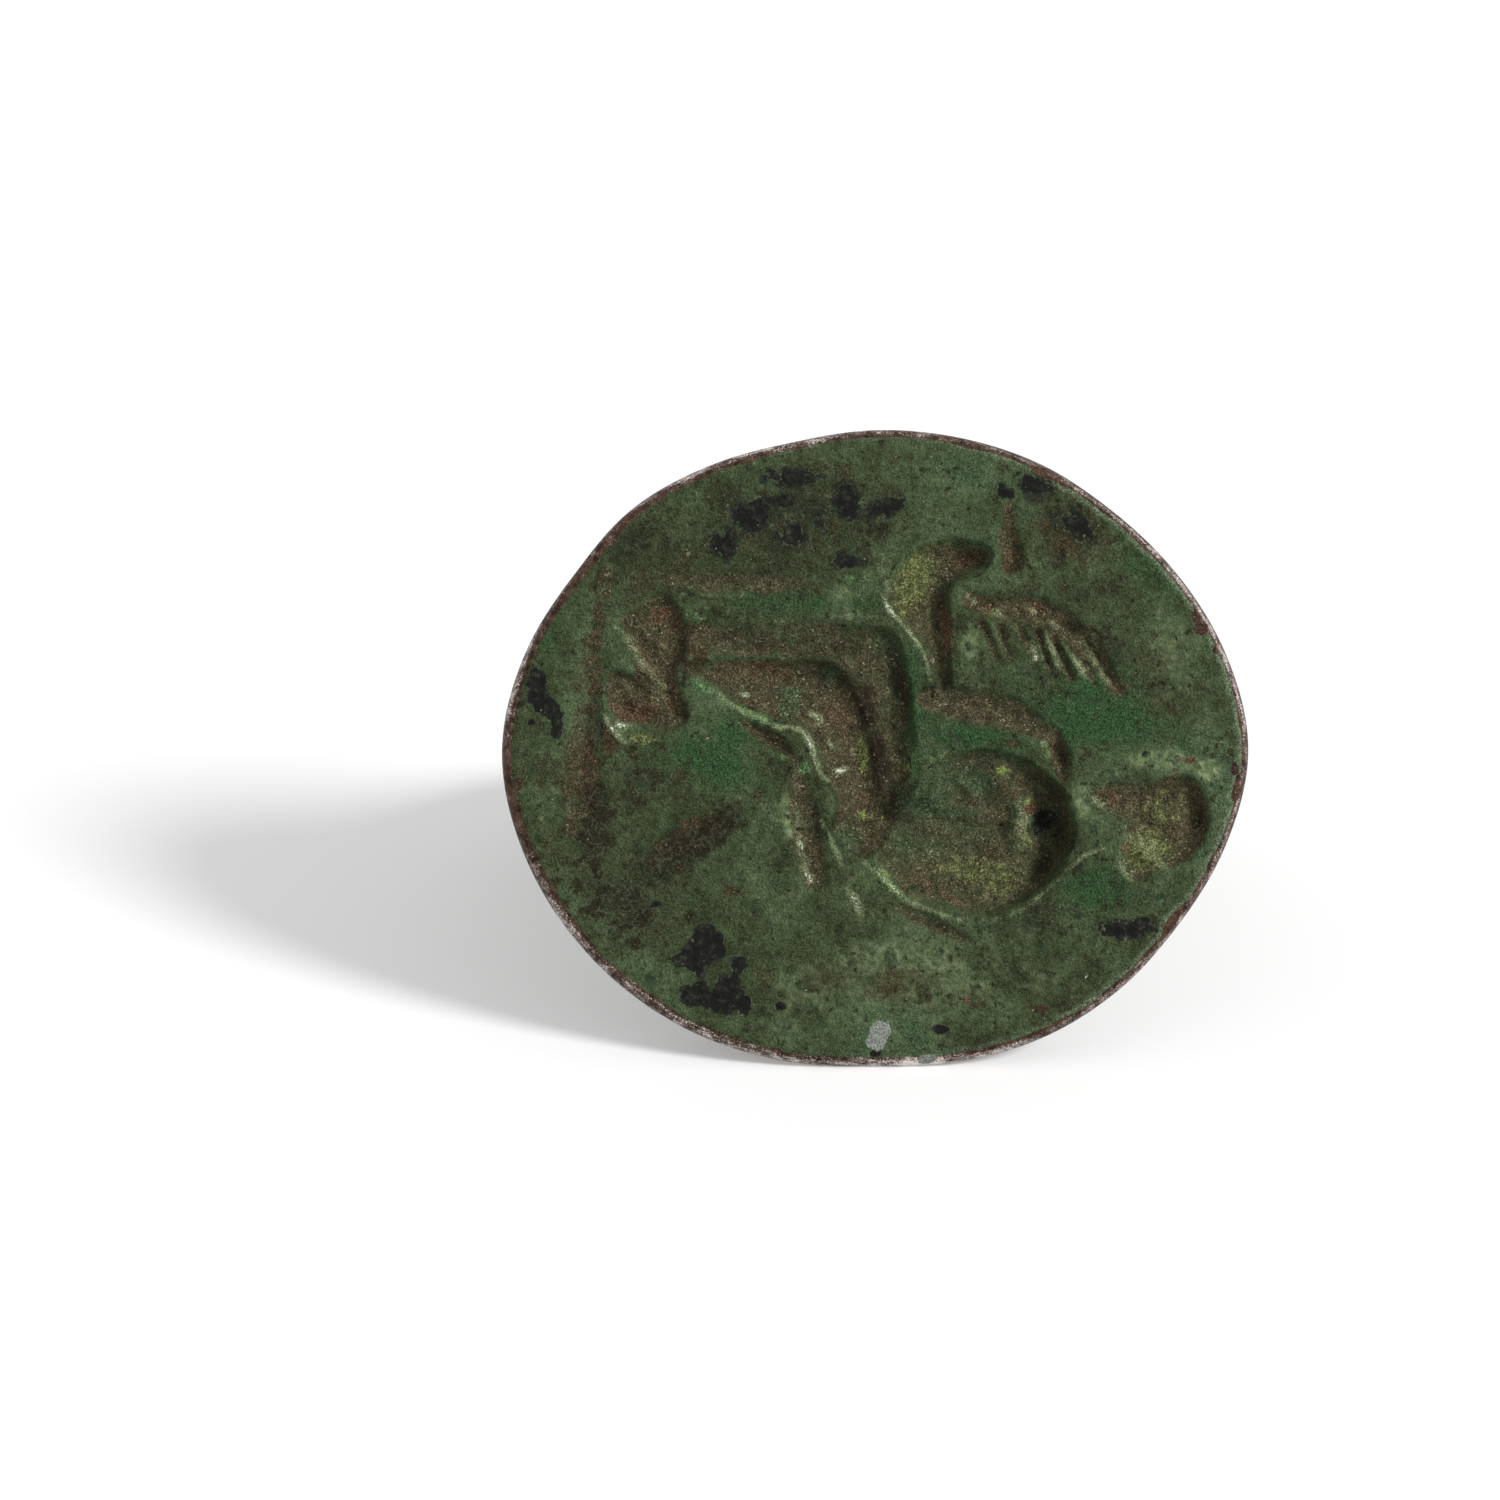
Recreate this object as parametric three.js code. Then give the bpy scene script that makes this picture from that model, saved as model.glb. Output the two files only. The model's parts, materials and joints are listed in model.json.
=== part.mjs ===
// A bronze finger ring: a thick oval seal plate, engraved with a seated figure that holds out
// a bird, hard-soldered to the two feet of a stirrup-shaped hoop.
//
// Millimetres. The ring is modelled in its own axes: x along the plate's long axis, y away from
// the engraved face and z up the plate, with the face's centre at the origin. It is then leaned
// back until it stands on the plate's lower edge and the back of the hoop.
import * as THREE from 'three';

// Seal plate
const plateLength = 25;
const plateHeight = 21.4;
const plateThickness = 2.5;
const arrisRadius = 0.4; // worn round edge of the face
const backInset = 1.1; // how far the side wall runs in towards the back
const backEdgeRadius = 0.35;

// Engraving
const deepestCut = 1.15;

// Hoop
const fingerDiameter = 18;
const holeFlat = 0.6; // how far the plate's back cuts into the round finger hole
const footInset = 0.5; // bare plate outside the solder at the ends of the plate
const hoopBackThickness = 1.7;
const hoopFootThickness = 2.6;
const hoopBackWidth = 3.8;
const hoopFootWidth = 6.6;
const hoopEdgeShare = 0.36; // height of the widest line, as a share of the thickness

// Solder
const solderGap = 0.05; // clearance that keeps touching pieces apart
const solderPad = 0.12; // layer under each foot
const filletWidth = 0.65;
const filletHeight = 0.9;
const filletLip = 0.1; // thickness where the fillet runs out

// Fineness
const faceRings = 33;
const ringStep = 6; // points that each ring of the face has more than the last
const edgeSteps = 3;
const backRingCounts = [54, 18, 6];
const sectionPoints = 20;
const bowSteps = 34;
const legSteps = 3;
const filletSteps = 3;
const leanHalvings = 50;

// The plate's outline, as shares of a true ellipse's radius, every 15 degrees from the right end.
const outlineShares = [
  1, 0.987, 0.979, 0.982, 0.999, 1.004, 1.002, 0.989,
  0.995, 0.997, 0.976, 0.986, 1, 0.996, 0.998, 1.006,
  1.01, 1.003, 0.99, 1.001, 1.007, 0.996, 0.98, 0.986,
];

// The engraving is laid out in shares of half the plate's height, from the middle of the face,
// and its depths are shares of the deepest cut.
//
// Bowls: x, z, half length, half width, turn in degrees, depth, how much deeper to the right.
const bowlShares = [
  [0.31, -0.3, 0.285, 0.2, -14, 0.9, 0.22], // chest and belly
  [0.355, -0.125, 0.22, 0.13, -20, 0.5, 0.25], // shoulder
  [0.905, -0.19, 0.145, 0.13, 0, 0.62, 0.3], // back of the head
];

// Grooves: points of x, z, half width and depth, along each stroke of the graver.
const grooveShares = [
  // near thigh, from knee to hip
  [[-0.1, 0.165, 0.105, 0.5], [-0.055, 0.01, 0.095, 0.62], [0.01, -0.14, 0.08, 0.68], [0.07, -0.22, 0.08, 0.7]],
  // near shin
  [[-0.54, 0.26, 0.04, 0.28], [-0.36, 0.21, 0.085, 0.44], [-0.2, 0.185, 0.11, 0.52], [-0.1, 0.15, 0.105, 0.5]],
  // far thigh
  [[0.015, 0.33, 0.065, 0.38], [0.055, 0.19, 0.06, 0.52], [0.06, 0.03, 0.052, 0.52], [0.05, -0.12, 0.05, 0.5]],
  // far shin
  [[-0.55, 0.345, 0.035, 0.22], [-0.3, 0.352, 0.04, 0.27], [-0.03, 0.35, 0.05, 0.3]],
  // feet on their stool
  [[-0.64, 0.47, 0.05, 0.26], [-0.61, 0.28, 0.045, 0.46], [-0.615, 0.05, 0.045, 0.4]],
  [[-0.69, 0.5, 0.05, 0.2], [-0.67, 0.34, 0.065, 0.36]],
  [[-0.795, 0.405, 0.035, 0.24], [-0.7, 0.255, 0.05, 0.34]],
  [[-0.82, 0.19, 0.045, 0.28], [-0.76, 0.12, 0.07, 0.42], [-0.655, 0.11, 0.065, 0.42]],
  // ground line
  [[-0.87, 0.56, 0.03, 0.12], [-0.885, 0.34, 0.035, 0.19], [-0.913, 0.15, 0.04, 0.22],
    [-0.93, -0.06, 0.05, 0.28], [-0.95, -0.27, 0.04, 0.15]],
  // slanting leg of the seat
  [[-0.4, -0.165, 0.05, 0.17], [-0.55, -0.25, 0.06, 0.2], [-0.7, -0.34, 0.05, 0.14], [-0.82, -0.42, 0.035, 0.08]],
  // front of the seat
  [[-0.2, -0.11, 0.03, 0.18], [-0.19, -0.27, 0.038, 0.32], [-0.162, -0.39, 0.035, 0.26]],
  [[-0.085, -0.15, 0.045, 0.26], [-0.05, -0.31, 0.055, 0.3]],
  // back of the seat
  [[-0.065, -0.43, 0.022, 0.12], [0.05, -0.485, 0.024, 0.17], [0.2, -0.58, 0.016, 0.1]],
  // fold that falls behind the shin
  [[-0.37, 0.055, 0.024, 0.12], [-0.265, -0.006, 0.024, 0.14]],
  // staff
  [[-0.6, 0.53, 0.03, 0.12], [-0.39, 0.52, 0.03, 0.13], [-0.16, 0.5, 0.026, 0.08]],
  // shoulder and upper arm
  [[0.57, 0.03, 0.026, 0.2], [0.598, -0.05, 0.03, 0.22]],
  [[0.515, 0.088, 0.034, 0.22], [0.39, 0.12, 0.05, 0.32], [0.25, 0.14, 0.044, 0.28]],
  // forearm
  [[0.197, 0.17, 0.032, 0.28], [0.185, 0.34, 0.04, 0.36]],
  // bird's body and tail
  [[0.18, 0.34, 0.045, 0.36], [0.145, 0.47, 0.085, 0.56], [0.2, 0.555, 0.085, 0.56], [0.325, 0.595, 0.052, 0.44]],
  // bird's head
  [[0.415, 0.72, 0.02, 0.14], [0.42, 0.63, 0.034, 0.26], [0.422, 0.575, 0.04, 0.3]],
  // leading edge of the wing
  [[0.3, 0.453, 0.03, 0.18], [0.39, 0.432, 0.042, 0.27], [0.53, 0.425, 0.044, 0.27],
    [0.64, 0.375, 0.04, 0.26], [0.72, 0.265, 0.036, 0.24], [0.795, 0.18, 0.026, 0.14]],
  // neck
  [[0.64, -0.13, 0.04, 0.14], [0.71, -0.14, 0.055, 0.3]],
  // jaw and knot of hair
  [[0.7, -0.12, 0.05, 0.34], [0.86, -0.16, 0.11, 0.5]],
  [[0.79, -0.36, 0.055, 0.38], [0.86, -0.27, 0.09, 0.55]],
];

// Wing feathers: x and z of the root, x and z of the tip, in one row of like strokes.
const featherShares = [
  [0.325, 0.4, 0.362, 0.28],
  [0.375, 0.385, 0.412, 0.27],
  [0.43, 0.37, 0.475, 0.265],
  [0.48, 0.365, 0.525, 0.25],
  [0.53, 0.36, 0.592, 0.215],
  [0.58, 0.345, 0.665, 0.2],
  [0.635, 0.335, 0.725, 0.19],
];
const featherHalfWidthShare = 0.02;
const featherDepthShare = 0.2;

const halfLength = plateLength / 2;
const halfHeight = plateHeight / 2;

// The sum that blends cuts where they meet, instead of leaving a crease, grows with this power.
const blendPower = 6;
// How square the bottom of a bowl is: 2 is a round bottom.
const bowlSquareness = 3;

// Distance of the outline from the middle of the face, at an angle from the long axis.
function outlineRadius(angle) {
  const count = outlineShares.length;
  const place = ((angle / (2 * Math.PI)) * count + count) % count;
  const first = Math.floor(place);
  const [a, b, c, d] = [-1, 0, 1, 2].map((step) => outlineShares[(first + step + count) % count]);
  const t = place - first;
  const share = b + 0.5 * t * (c - a + t * (2 * a - 5 * b + 4 * c - d + t * (3 * (b - c) + d - a)));
  const ellipse = (halfLength * halfHeight) / Math.hypot(halfHeight * Math.cos(angle), halfLength * Math.sin(angle));
  return share * ellipse;
}

function bowlDepth([cx, cz, long, wide, turn, depth, lean], x, z) {
  const angle = THREE.MathUtils.degToRad(turn);
  const along = ((x - cx) * Math.cos(angle) + (z - cz) * Math.sin(angle)) / long;
  const across = ((z - cz) * Math.cos(angle) - (x - cx) * Math.sin(angle)) / wide;
  const reach = Math.hypot(along, across);
  return reach < 1 ? depth * (1 - reach ** bowlSquareness) * (1 + lean * along) : 0;
}

function grooveDepth(points, x, z) {
  let deepest = 0;
  for (let i = 1; i < points.length; i++) {
    const [x0, z0, width0, depth0] = points[i - 1];
    const [x1, z1, width1, depth1] = points[i];
    const run = (x1 - x0) ** 2 + (z1 - z0) ** 2;
    const t = THREE.MathUtils.clamp(((x - x0) * (x1 - x0) + (z - z0) * (z1 - z0)) / run, 0, 1);
    const reach = Math.hypot(x - x0 - t * (x1 - x0), z - z0 - t * (z1 - z0)) / (width0 + t * (width1 - width0));
    if (reach < 1) deepest = Math.max(deepest, (depth0 + t * (depth1 - depth0)) * (1 - reach ** 2));
  }
  return deepest;
}

const feathers = featherShares.map(([x0, z0, x1, z1]) => [
  [x0, z0, featherHalfWidthShare, featherDepthShare],
  [x1, z1, featherHalfWidthShare, featherDepthShare],
]);

// Depth of the engraving below the face at a point of it.
function engravedDepth(x, z) {
  const [sx, sz] = [x / halfHeight, z / halfHeight];
  const cuts = [
    ...bowlShares.map((bowl) => bowlDepth(bowl, sx, sz)),
    ...[...grooveShares, ...feathers].map((groove) => grooveDepth(groove, sx, sz)),
  ];
  return deepestCut * cuts.reduce((sum, cut) => sum + cut ** blendPower, 0) ** (1 / blendPower);
}

// One closed body through a list of rings of points. Rings may differ in their number of points,
// and a ring of one point closes an end.
function skin(rings) {
  const index = [];
  let first = 0;
  for (let r = 1; r < rings.length; r++) {
    const a = rings[r - 1].length;
    const b = rings[r].length;
    const second = first + a;
    let i = 0;
    let j = 0;
    while ((a > 1 && i < a) || (b > 1 && j < b)) {
      const [here, there] = [first + (i % a), second + (j % b)];
      if (b === 1 || (a > 1 && i < a && (j === b || (i + 1) * b <= (j + 1) * a))) {
        i++;
        index.push(here, first + (i % a), there);
      } else {
        j++;
        index.push(here, second + (j % b), there);
      }
    }
    first = second;
  }
  const points = rings.flat();
  let volume = 0;
  for (let t = 0; t < index.length; t += 3) {
    const [p, q, s] = [points[index[t]], points[index[t + 1]], points[index[t + 2]]];
    volume += p.dot(new THREE.Vector3().crossVectors(q, s));
  }
  const geometry = new THREE.BufferGeometry().setFromPoints(points);
  geometry.setIndex(volume < 0 ? index.reverse() : index);
  geometry.computeVertexNormals();
  return geometry;
}

function centreOf(ring) {
  const centre = new THREE.Vector3();
  ring.forEach((point) => centre.addScaledVector(point, 1 / ring.length));
  return centre;
}

// A ring of the plate: the outline drawn in by an inset, scaled towards the middle by a share.
function plateRing(count, inset, share, depthAt) {
  return Array.from({ length: count }, (_, i) => {
    const angle = (2 * Math.PI * i) / count;
    const radius = (outlineRadius(angle) - inset) * share;
    const [x, z] = [radius * Math.cos(angle), radius * Math.sin(angle)];
    return new THREE.Vector3(x, depthAt(x, z), z);
  });
}

function plateGeometry() {
  const rimCount = faceRings * ringStep;
  const rings = [[new THREE.Vector3(0, engravedDepth(0, 0), 0)]];
  for (let k = 1; k <= faceRings; k++) {
    rings.push(plateRing(k * ringStep, arrisRadius, k / faceRings, engravedDepth));
  }
  for (let k = 1; k <= edgeSteps; k++) {
    const turn = (Math.PI / 2) * (k / edgeSteps);
    const inset = arrisRadius * (1 - Math.sin(turn));
    rings.push(plateRing(rimCount, inset, 1, () => arrisRadius * (1 - Math.cos(turn))));
  }
  for (let k = 0; k <= edgeSteps; k++) {
    const turn = (Math.PI / 2) * (k / edgeSteps);
    const inset = backInset + backEdgeRadius * (1 - Math.cos(turn));
    rings.push(plateRing(rimCount, inset, 1, () => plateThickness - backEdgeRadius * (1 - Math.sin(turn))));
  }
  const backEdge = backInset + backEdgeRadius;
  backRingCounts.forEach((count, k) => {
    const share = 1 - (k + 1) / (backRingCounts.length + 1);
    rings.push(plateRing(count, backEdge, share, () => plateThickness));
  });
  rings.push([new THREE.Vector3(0, plateThickness, 0)]);
  return skin(rings);
}

const bowRadius = fingerDiameter / 2;
const bowCentre = new THREE.Vector3(0, plateThickness - holeFlat + bowRadius, 0);
const seat = plateThickness + solderPad + 2 * solderGap; // plane on which the hoop's feet stand
const solderReach = solderGap + filletLip + filletWidth;
const footInside = halfLength - backInset - backEdgeRadius - footInset - solderReach - hoopFootThickness;

// The bow turns into straight legs where a line from the inside of each foot touches its circle.
const legLength = Math.sqrt(footInside ** 2 + (bowCentre.y - seat) ** 2 - bowRadius ** 2);
const legStart = Math.atan2(footInside, seat - bowCentre.y) - Math.atan2(legLength, bowRadius);
const bowLength = bowRadius * legStart;

// Point, outward direction and forward direction of the hoop's inside line, at a distance from
// the middle of its back; a negative distance is on the left.
function insideLine(distance) {
  const side = Math.sign(distance) || 1;
  const onBow = Math.min(Math.abs(distance), bowLength);
  const angle = onBow / bowRadius;
  const outward = new THREE.Vector3(side * Math.sin(angle), Math.cos(angle), 0);
  const forward = new THREE.Vector3(side * Math.cos(angle), -Math.sin(angle), 0);
  const point = bowCentre.clone().addScaledVector(outward, bowRadius);
  point.addScaledVector(forward, Math.abs(distance) - onBow);
  return { point, outward, forward };
}

// A ring round the hoop: flat towards the finger with round corners, domed outside.
function hoopSection(distance) {
  const { point, outward } = insideLine(distance);
  const swell = THREE.MathUtils.smoothstep(Math.abs(distance), 0, bowLength + legLength - filletHeight);
  const thickness = THREE.MathUtils.lerp(hoopBackThickness, hoopFootThickness, swell);
  const halfWidth = THREE.MathUtils.lerp(hoopBackWidth, hoopFootWidth, swell) / 2;
  return Array.from({ length: sectionPoints }, (_, i) => {
    const angle = (2 * Math.PI * i) / sectionPoints;
    const [c, s] = [Math.cos(angle), Math.sin(angle)];
    const inside = s < 0;
    const across = inside ? Math.sign(c) * Math.sqrt(Math.abs(c)) : c;
    const height = inside ? hoopEdgeShare * (1 - Math.sqrt(-s)) : hoopEdgeShare + (1 - hoopEdgeShare) * s;
    const place = point.clone().addScaledVector(outward, height * thickness);
    place.z += across * halfWidth;
    return place;
  });
}

// The hoop's foot ring on one side, slid along the leg to a height above the seat.
function footRing(side, height) {
  const { forward } = insideLine(side * (bowLength + legLength));
  return hoopSection(side * (bowLength + legLength)).map((point) =>
    point.addScaledVector(forward, (seat + height - point.y) / forward.y));
}

function hoopGeometry() {
  const half = [];
  for (let k = 0; k <= bowSteps / 2; k++) half.push((bowLength * k) / (bowSteps / 2));
  for (let k = 1; k <= legSteps; k++) {
    half.push(bowLength + ((legLength - 2 * filletHeight) * k) / (legSteps + 1));
  }
  const middle = [...half.slice(1).reverse().map((distance) => -distance), ...half];
  const rings = [
    footRing(-1, 0),
    footRing(-1, filletHeight),
    ...middle.map(hoopSection),
    footRing(1, filletHeight),
    footRing(1, 0),
  ];
  return skin([[centreOf(rings[0])], ...rings, [centreOf(rings.at(-1))]]);
}

// A ring round a foot at a height above the seat, moved outwards along the plate.
function solderRing(side, height, offset) {
  const ring = footRing(side, height);
  const facing = Math.sign(ring[0].clone().sub(centreOf(ring)).z);
  return ring.map((point, i) => {
    const before = ring.at(i - 1);
    const after = ring[(i + 1) % ring.length];
    const out = new THREE.Vector3(after.z - before.z, 0, before.x - after.x).normalize();
    out.multiplyScalar(-side * facing);
    return point.clone().addScaledVector(out, offset);
  });
}

// Solder under a foot and round it: a shallow cup with a hollow fillet for its wall.
function solderGeometry(side) {
  const bottom = -solderPad - solderGap;
  const rings = [];
  for (let k = 0; k <= filletSteps; k++) {
    const turn = (Math.PI / 2) * (k / filletSteps);
    const height = bottom + (filletHeight - bottom) * (1 - Math.cos(turn));
    rings.push(solderRing(side, height, solderReach - filletWidth * Math.sin(turn)));
  }
  rings.push(solderRing(side, filletHeight, solderGap));
  rings.push(solderRing(side, -solderGap, solderGap));
  return skin([[centreOf(rings[0])], ...rings, [centreOf(rings.at(-1))]]);
}

const patina = new THREE.MeshStandardMaterial({ color: 0x3f5a3a, roughness: 0.7, metalness: 0.35 });
const bronze = new THREE.MeshStandardMaterial({ color: 0x5a4632, roughness: 0.5, metalness: 0.7 });
const solder = new THREE.MeshStandardMaterial({ color: 0x6e6a55, roughness: 0.6, metalness: 0.6 });

function piece(name, geometry, material) {
  const mesh = new THREE.Mesh(geometry, material);
  mesh.name = name;
  return mesh;
}

const leaned = new THREE.Group();
leaned.add(
  piece('seal_plate', plateGeometry(), patina),
  piece('hoop', hoopGeometry(), bronze),
  piece('solder_left', solderGeometry(-1), solder),
  piece('solder_right', solderGeometry(1), solder),
);

// Lowest point of a piece when the ring leans back by an angle.
function lowestPoint(mesh, lean) {
  const { array } = mesh.geometry.getAttribute('position');
  let lowest = Infinity;
  for (let i = 0; i < array.length; i += 3) {
    lowest = Math.min(lowest, array[i + 2] * Math.cos(lean) - array[i + 1] * Math.sin(lean));
  }
  return lowest;
}

// The lean at which the plate's lower edge and the hoop's back touch the ground together.
function restingLean() {
  const [plate, hoop] = leaned.children;
  let [low, high] = [0, Math.PI / 4];
  for (let i = 0; i < leanHalvings; i++) {
    const middle = (low + high) / 2;
    if (lowestPoint(hoop, middle) > lowestPoint(plate, middle)) low = middle;
    else high = middle;
  }
  return low;
}

leaned.rotation.x = -restingLean();

// The origin is on the ground, under the middle of the ring.
const ring = new THREE.Group();
ring.add(leaned);
const box = new THREE.Box3().setFromObject(ring, true);
leaned.position.set(-(box.min.x + box.max.x) / 2, -(box.min.y + box.max.y) / 2, -box.min.z);

export default ring;
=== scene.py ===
# The looks of an ancient bronze seal ring: an oval plate with an engraved figure under a green patina,
# on a brown hoop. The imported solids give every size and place; this script gives the surfaces.
import json
import math

import bpy
import numpy as np
from mathutils import Matrix, Vector


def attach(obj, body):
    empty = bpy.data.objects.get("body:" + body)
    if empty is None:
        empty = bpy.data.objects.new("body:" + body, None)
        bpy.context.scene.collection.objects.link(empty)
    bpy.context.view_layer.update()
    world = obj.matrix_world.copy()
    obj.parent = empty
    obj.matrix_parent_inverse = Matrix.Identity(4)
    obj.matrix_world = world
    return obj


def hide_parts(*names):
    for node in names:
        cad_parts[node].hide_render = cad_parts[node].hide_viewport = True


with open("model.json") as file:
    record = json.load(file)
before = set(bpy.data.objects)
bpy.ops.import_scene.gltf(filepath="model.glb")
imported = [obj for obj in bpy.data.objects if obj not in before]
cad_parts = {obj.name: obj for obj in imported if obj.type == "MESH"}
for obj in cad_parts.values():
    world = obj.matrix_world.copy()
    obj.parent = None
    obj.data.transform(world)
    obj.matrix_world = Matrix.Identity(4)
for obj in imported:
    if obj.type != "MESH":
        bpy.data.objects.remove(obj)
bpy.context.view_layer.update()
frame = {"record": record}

MM = 0.001

# The ring's own axes, in the row frame. The seal face's mount lies on the face, below its middle.
seal_face = next(mount for mount in frame["record"]["mounts"] if mount["name"] == "seal_face")
MOUNT_BELOW_MIDDLE = 8.4
RIGHT = np.array([1.0, 0.0, 0.0])
INTO = -np.array(seal_face["axis"])
UP = np.cross(RIGHT, INTO)
FACE_MIDDLE = np.array(seal_face["pos_m"]) + MOUNT_BELOW_MIDDLE * MM * UP

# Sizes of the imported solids, in millimetres, as are all lengths from here until a mesh is made
PLATE_LENGTH = 25.0
PLATE_HEIGHT = 21.4
PLATE_THICKNESS = 2.5
ARRIS = 0.4  # radius of the worn round edge of the face
BACK_INSET = 1.1  # how far the side wall runs in towards the back
BACK_EDGE = 0.35
OUTLINE_SHARES = [1, 0.987, 0.979, 0.982, 0.999, 1.004, 1.002, 0.989,
                  0.995, 0.997, 0.976, 0.986, 1, 0.996, 0.998, 1.006,
                  1.01, 1.003, 0.99, 1.001, 1.007, 0.996, 0.98, 0.986]
FINGER_DIAMETER = 18.0
HOLE_FLAT = 0.6  # how far the plate's back cuts into the round hole
HOOP_BACK = (3.8, 1.7)  # width and thickness
HOOP_FOOT = (6.6, 2.6)
HOOP_EDGE_SHARE = 0.36  # height of the widest line, as a share of the thickness
FOOT_INSET = 0.5  # bare plate outside the solder
SOLDER_GAP = 0.05
SOLDER_PAD = 0.12
FILLET_WIDTH = 0.65
FILLET_HEIGHT = 0.9
FILLET_LIP = 0.1

# The looks' own sizes
CRUST = 0.07  # thickness of the green crust over the metal
WEAR = 0.032  # off the plate's outline, which keeps the smooth edge inside the solid's box
HOOP_WEAR = 0.04  # off the hoop's outside, for the same reason
DEEPER = 1.25  # every depth in the tables below times this

# Strokes of the graver: x, up, half width and depth at points along each
GROOVES = {
    "ground line": [(-8.75, 6.6, 0.4, 0.04), (-9.0, 5.2, 0.5, 0.1), (-9.3, 3.8, 0.6, 0.15),
                    (-9.5, 2.5, 0.7, 0.18), (-9.65, 1.2, 0.7, 0.2), (-9.7, -0.2, 0.75, 0.22),
                    (-9.85, -1.6, 0.7, 0.2), (-10.1, -2.8, 0.5, 0.06)],
    "ground edge": [(-9.15, 5.9, 0.2, 0.04), (-9.25, 4.5, 0.26, 0.14), (-9.35, 3.2, 0.26, 0.15),
                    (-9.5, 2.0, 0.28, 0.18), (-9.55, 0.5, 0.3, 0.2), (-9.6, -1.0, 0.3, 0.2),
                    (-9.7, -2.3, 0.24, 0.08)],
    "staff": [(-7.4, 5.6, 0.3, 0.03), (-5.4, 5.6, 0.5, 0.15), (-3.6, 5.6, 0.5, 0.12),
              (-1.9, 5.55, 0.3, 0.03)],
    "far shin": [(-6.2, 3.75, 0.6, 0.14), (-4.6, 3.6, 0.8, 0.26), (-2.8, 3.6, 0.85, 0.3),
                 (-1.2, 3.6, 0.85, 0.36), (-0.1, 3.4, 0.8, 0.4)],
    "fold behind the shin": [
        (-4.35, 0.85, 0.2, 0.1), (-3.75, 0.5, 0.32, 0.28), (-3.2, 0.15, 0.32, 0.28),
        (-2.6, -0.3, 0.2, 0.14)],
    "front of the seat": [
        (-2.6, -0.7, 0.42, 0.1), (-2.45, -1.8, 0.6, 0.2), (-2.3, -3.0, 0.64, 0.24),
        (-2.05, -4.3, 0.55, 0.18)],
    "leg of the seat": [
        (-3.9, -1.6, 0.6, 0.08), (-5.2, -2.4, 0.85, 0.26), (-6.5, -3.2, 0.9, 0.26),
        (-8.2, -4.3, 0.8, 0.08)],
    "back of the seat": [
        (0.8, -5.3, 0.22, 0.1), (1.5, -5.65, 0.34, 0.22), (2.3, -6.0, 0.32, 0.22),
        (3.2, -6.4, 0.2, 0.08)],
    "upper arm": [(1.7, 1.7, 0.5, 0.16), (2.6, 1.5, 0.72, 0.27), (3.7, 1.35, 0.78, 0.3),
                  (4.7, 1.05, 0.7, 0.28), (5.6, 0.6, 0.42, 0.16)],
    "shoulder": [(5.95, 0.5, 0.34, 0.2), (6.15, -0.2, 0.45, 0.38), (6.3, -0.9, 0.26, 0.2)],
    "bird's head": [(4.4, 8.1, 0.24, 0.08), (4.42, 7.1, 0.46, 0.28), (4.55, 6.2, 0.58, 0.34)],
    "wing": [(3.1, 5.05, 0.36, 0.14), (3.8, 4.75, 0.54, 0.3), (4.7, 4.7, 0.6, 0.34),
             (5.5, 4.6, 0.6, 0.32), (6.2, 4.25, 0.55, 0.36), (6.75, 3.8, 0.5, 0.36),
             (7.25, 3.3, 0.44, 0.36), (7.7, 2.6, 0.4, 0.32), (8.2, 1.9, 0.25, 0.12)],
    "hip": [(1.1, -0.2, 0.4, 0.2), (0.8, -1.2, 0.75, 0.56), (0.35, -2.1, 0.8, 0.6),
            (-0.05, -2.9, 0.6, 0.4)],
}

# How brown the floor of a cut is, where it isn't wholly brown
BROWNED = {
    "ground edge": 0.5, "ground line": 0.62, "staff": 0.8, "far shin": 0.74, "front of the seat": 0.8,
    "leg of the seat": 0.36, "back of the seat": 0.75, "hip": 0.9, "far thigh": 0.74, "bird": 0.85,
    "body": 0.75,
}

# Feathers of the wing: root, tip, half width and depth
FEATHERS = [
    (3.55, 4.2, 4.0, 3.1, 0.24, 0.26), (4.15, 4.1, 4.5, 3.05, 0.22, 0.24),
    (4.75, 4.1, 5.15, 3.2, 0.2, 0.2), (5.3, 4.2, 5.75, 2.8, 0.24, 0.34),
    (5.85, 4.1, 6.5, 2.4, 0.25, 0.32), (6.4, 4.0, 7.2, 2.3, 0.26, 0.26), (7.1, 3.9, 8.0, 2.3, 0.34, 0.2)
]

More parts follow.
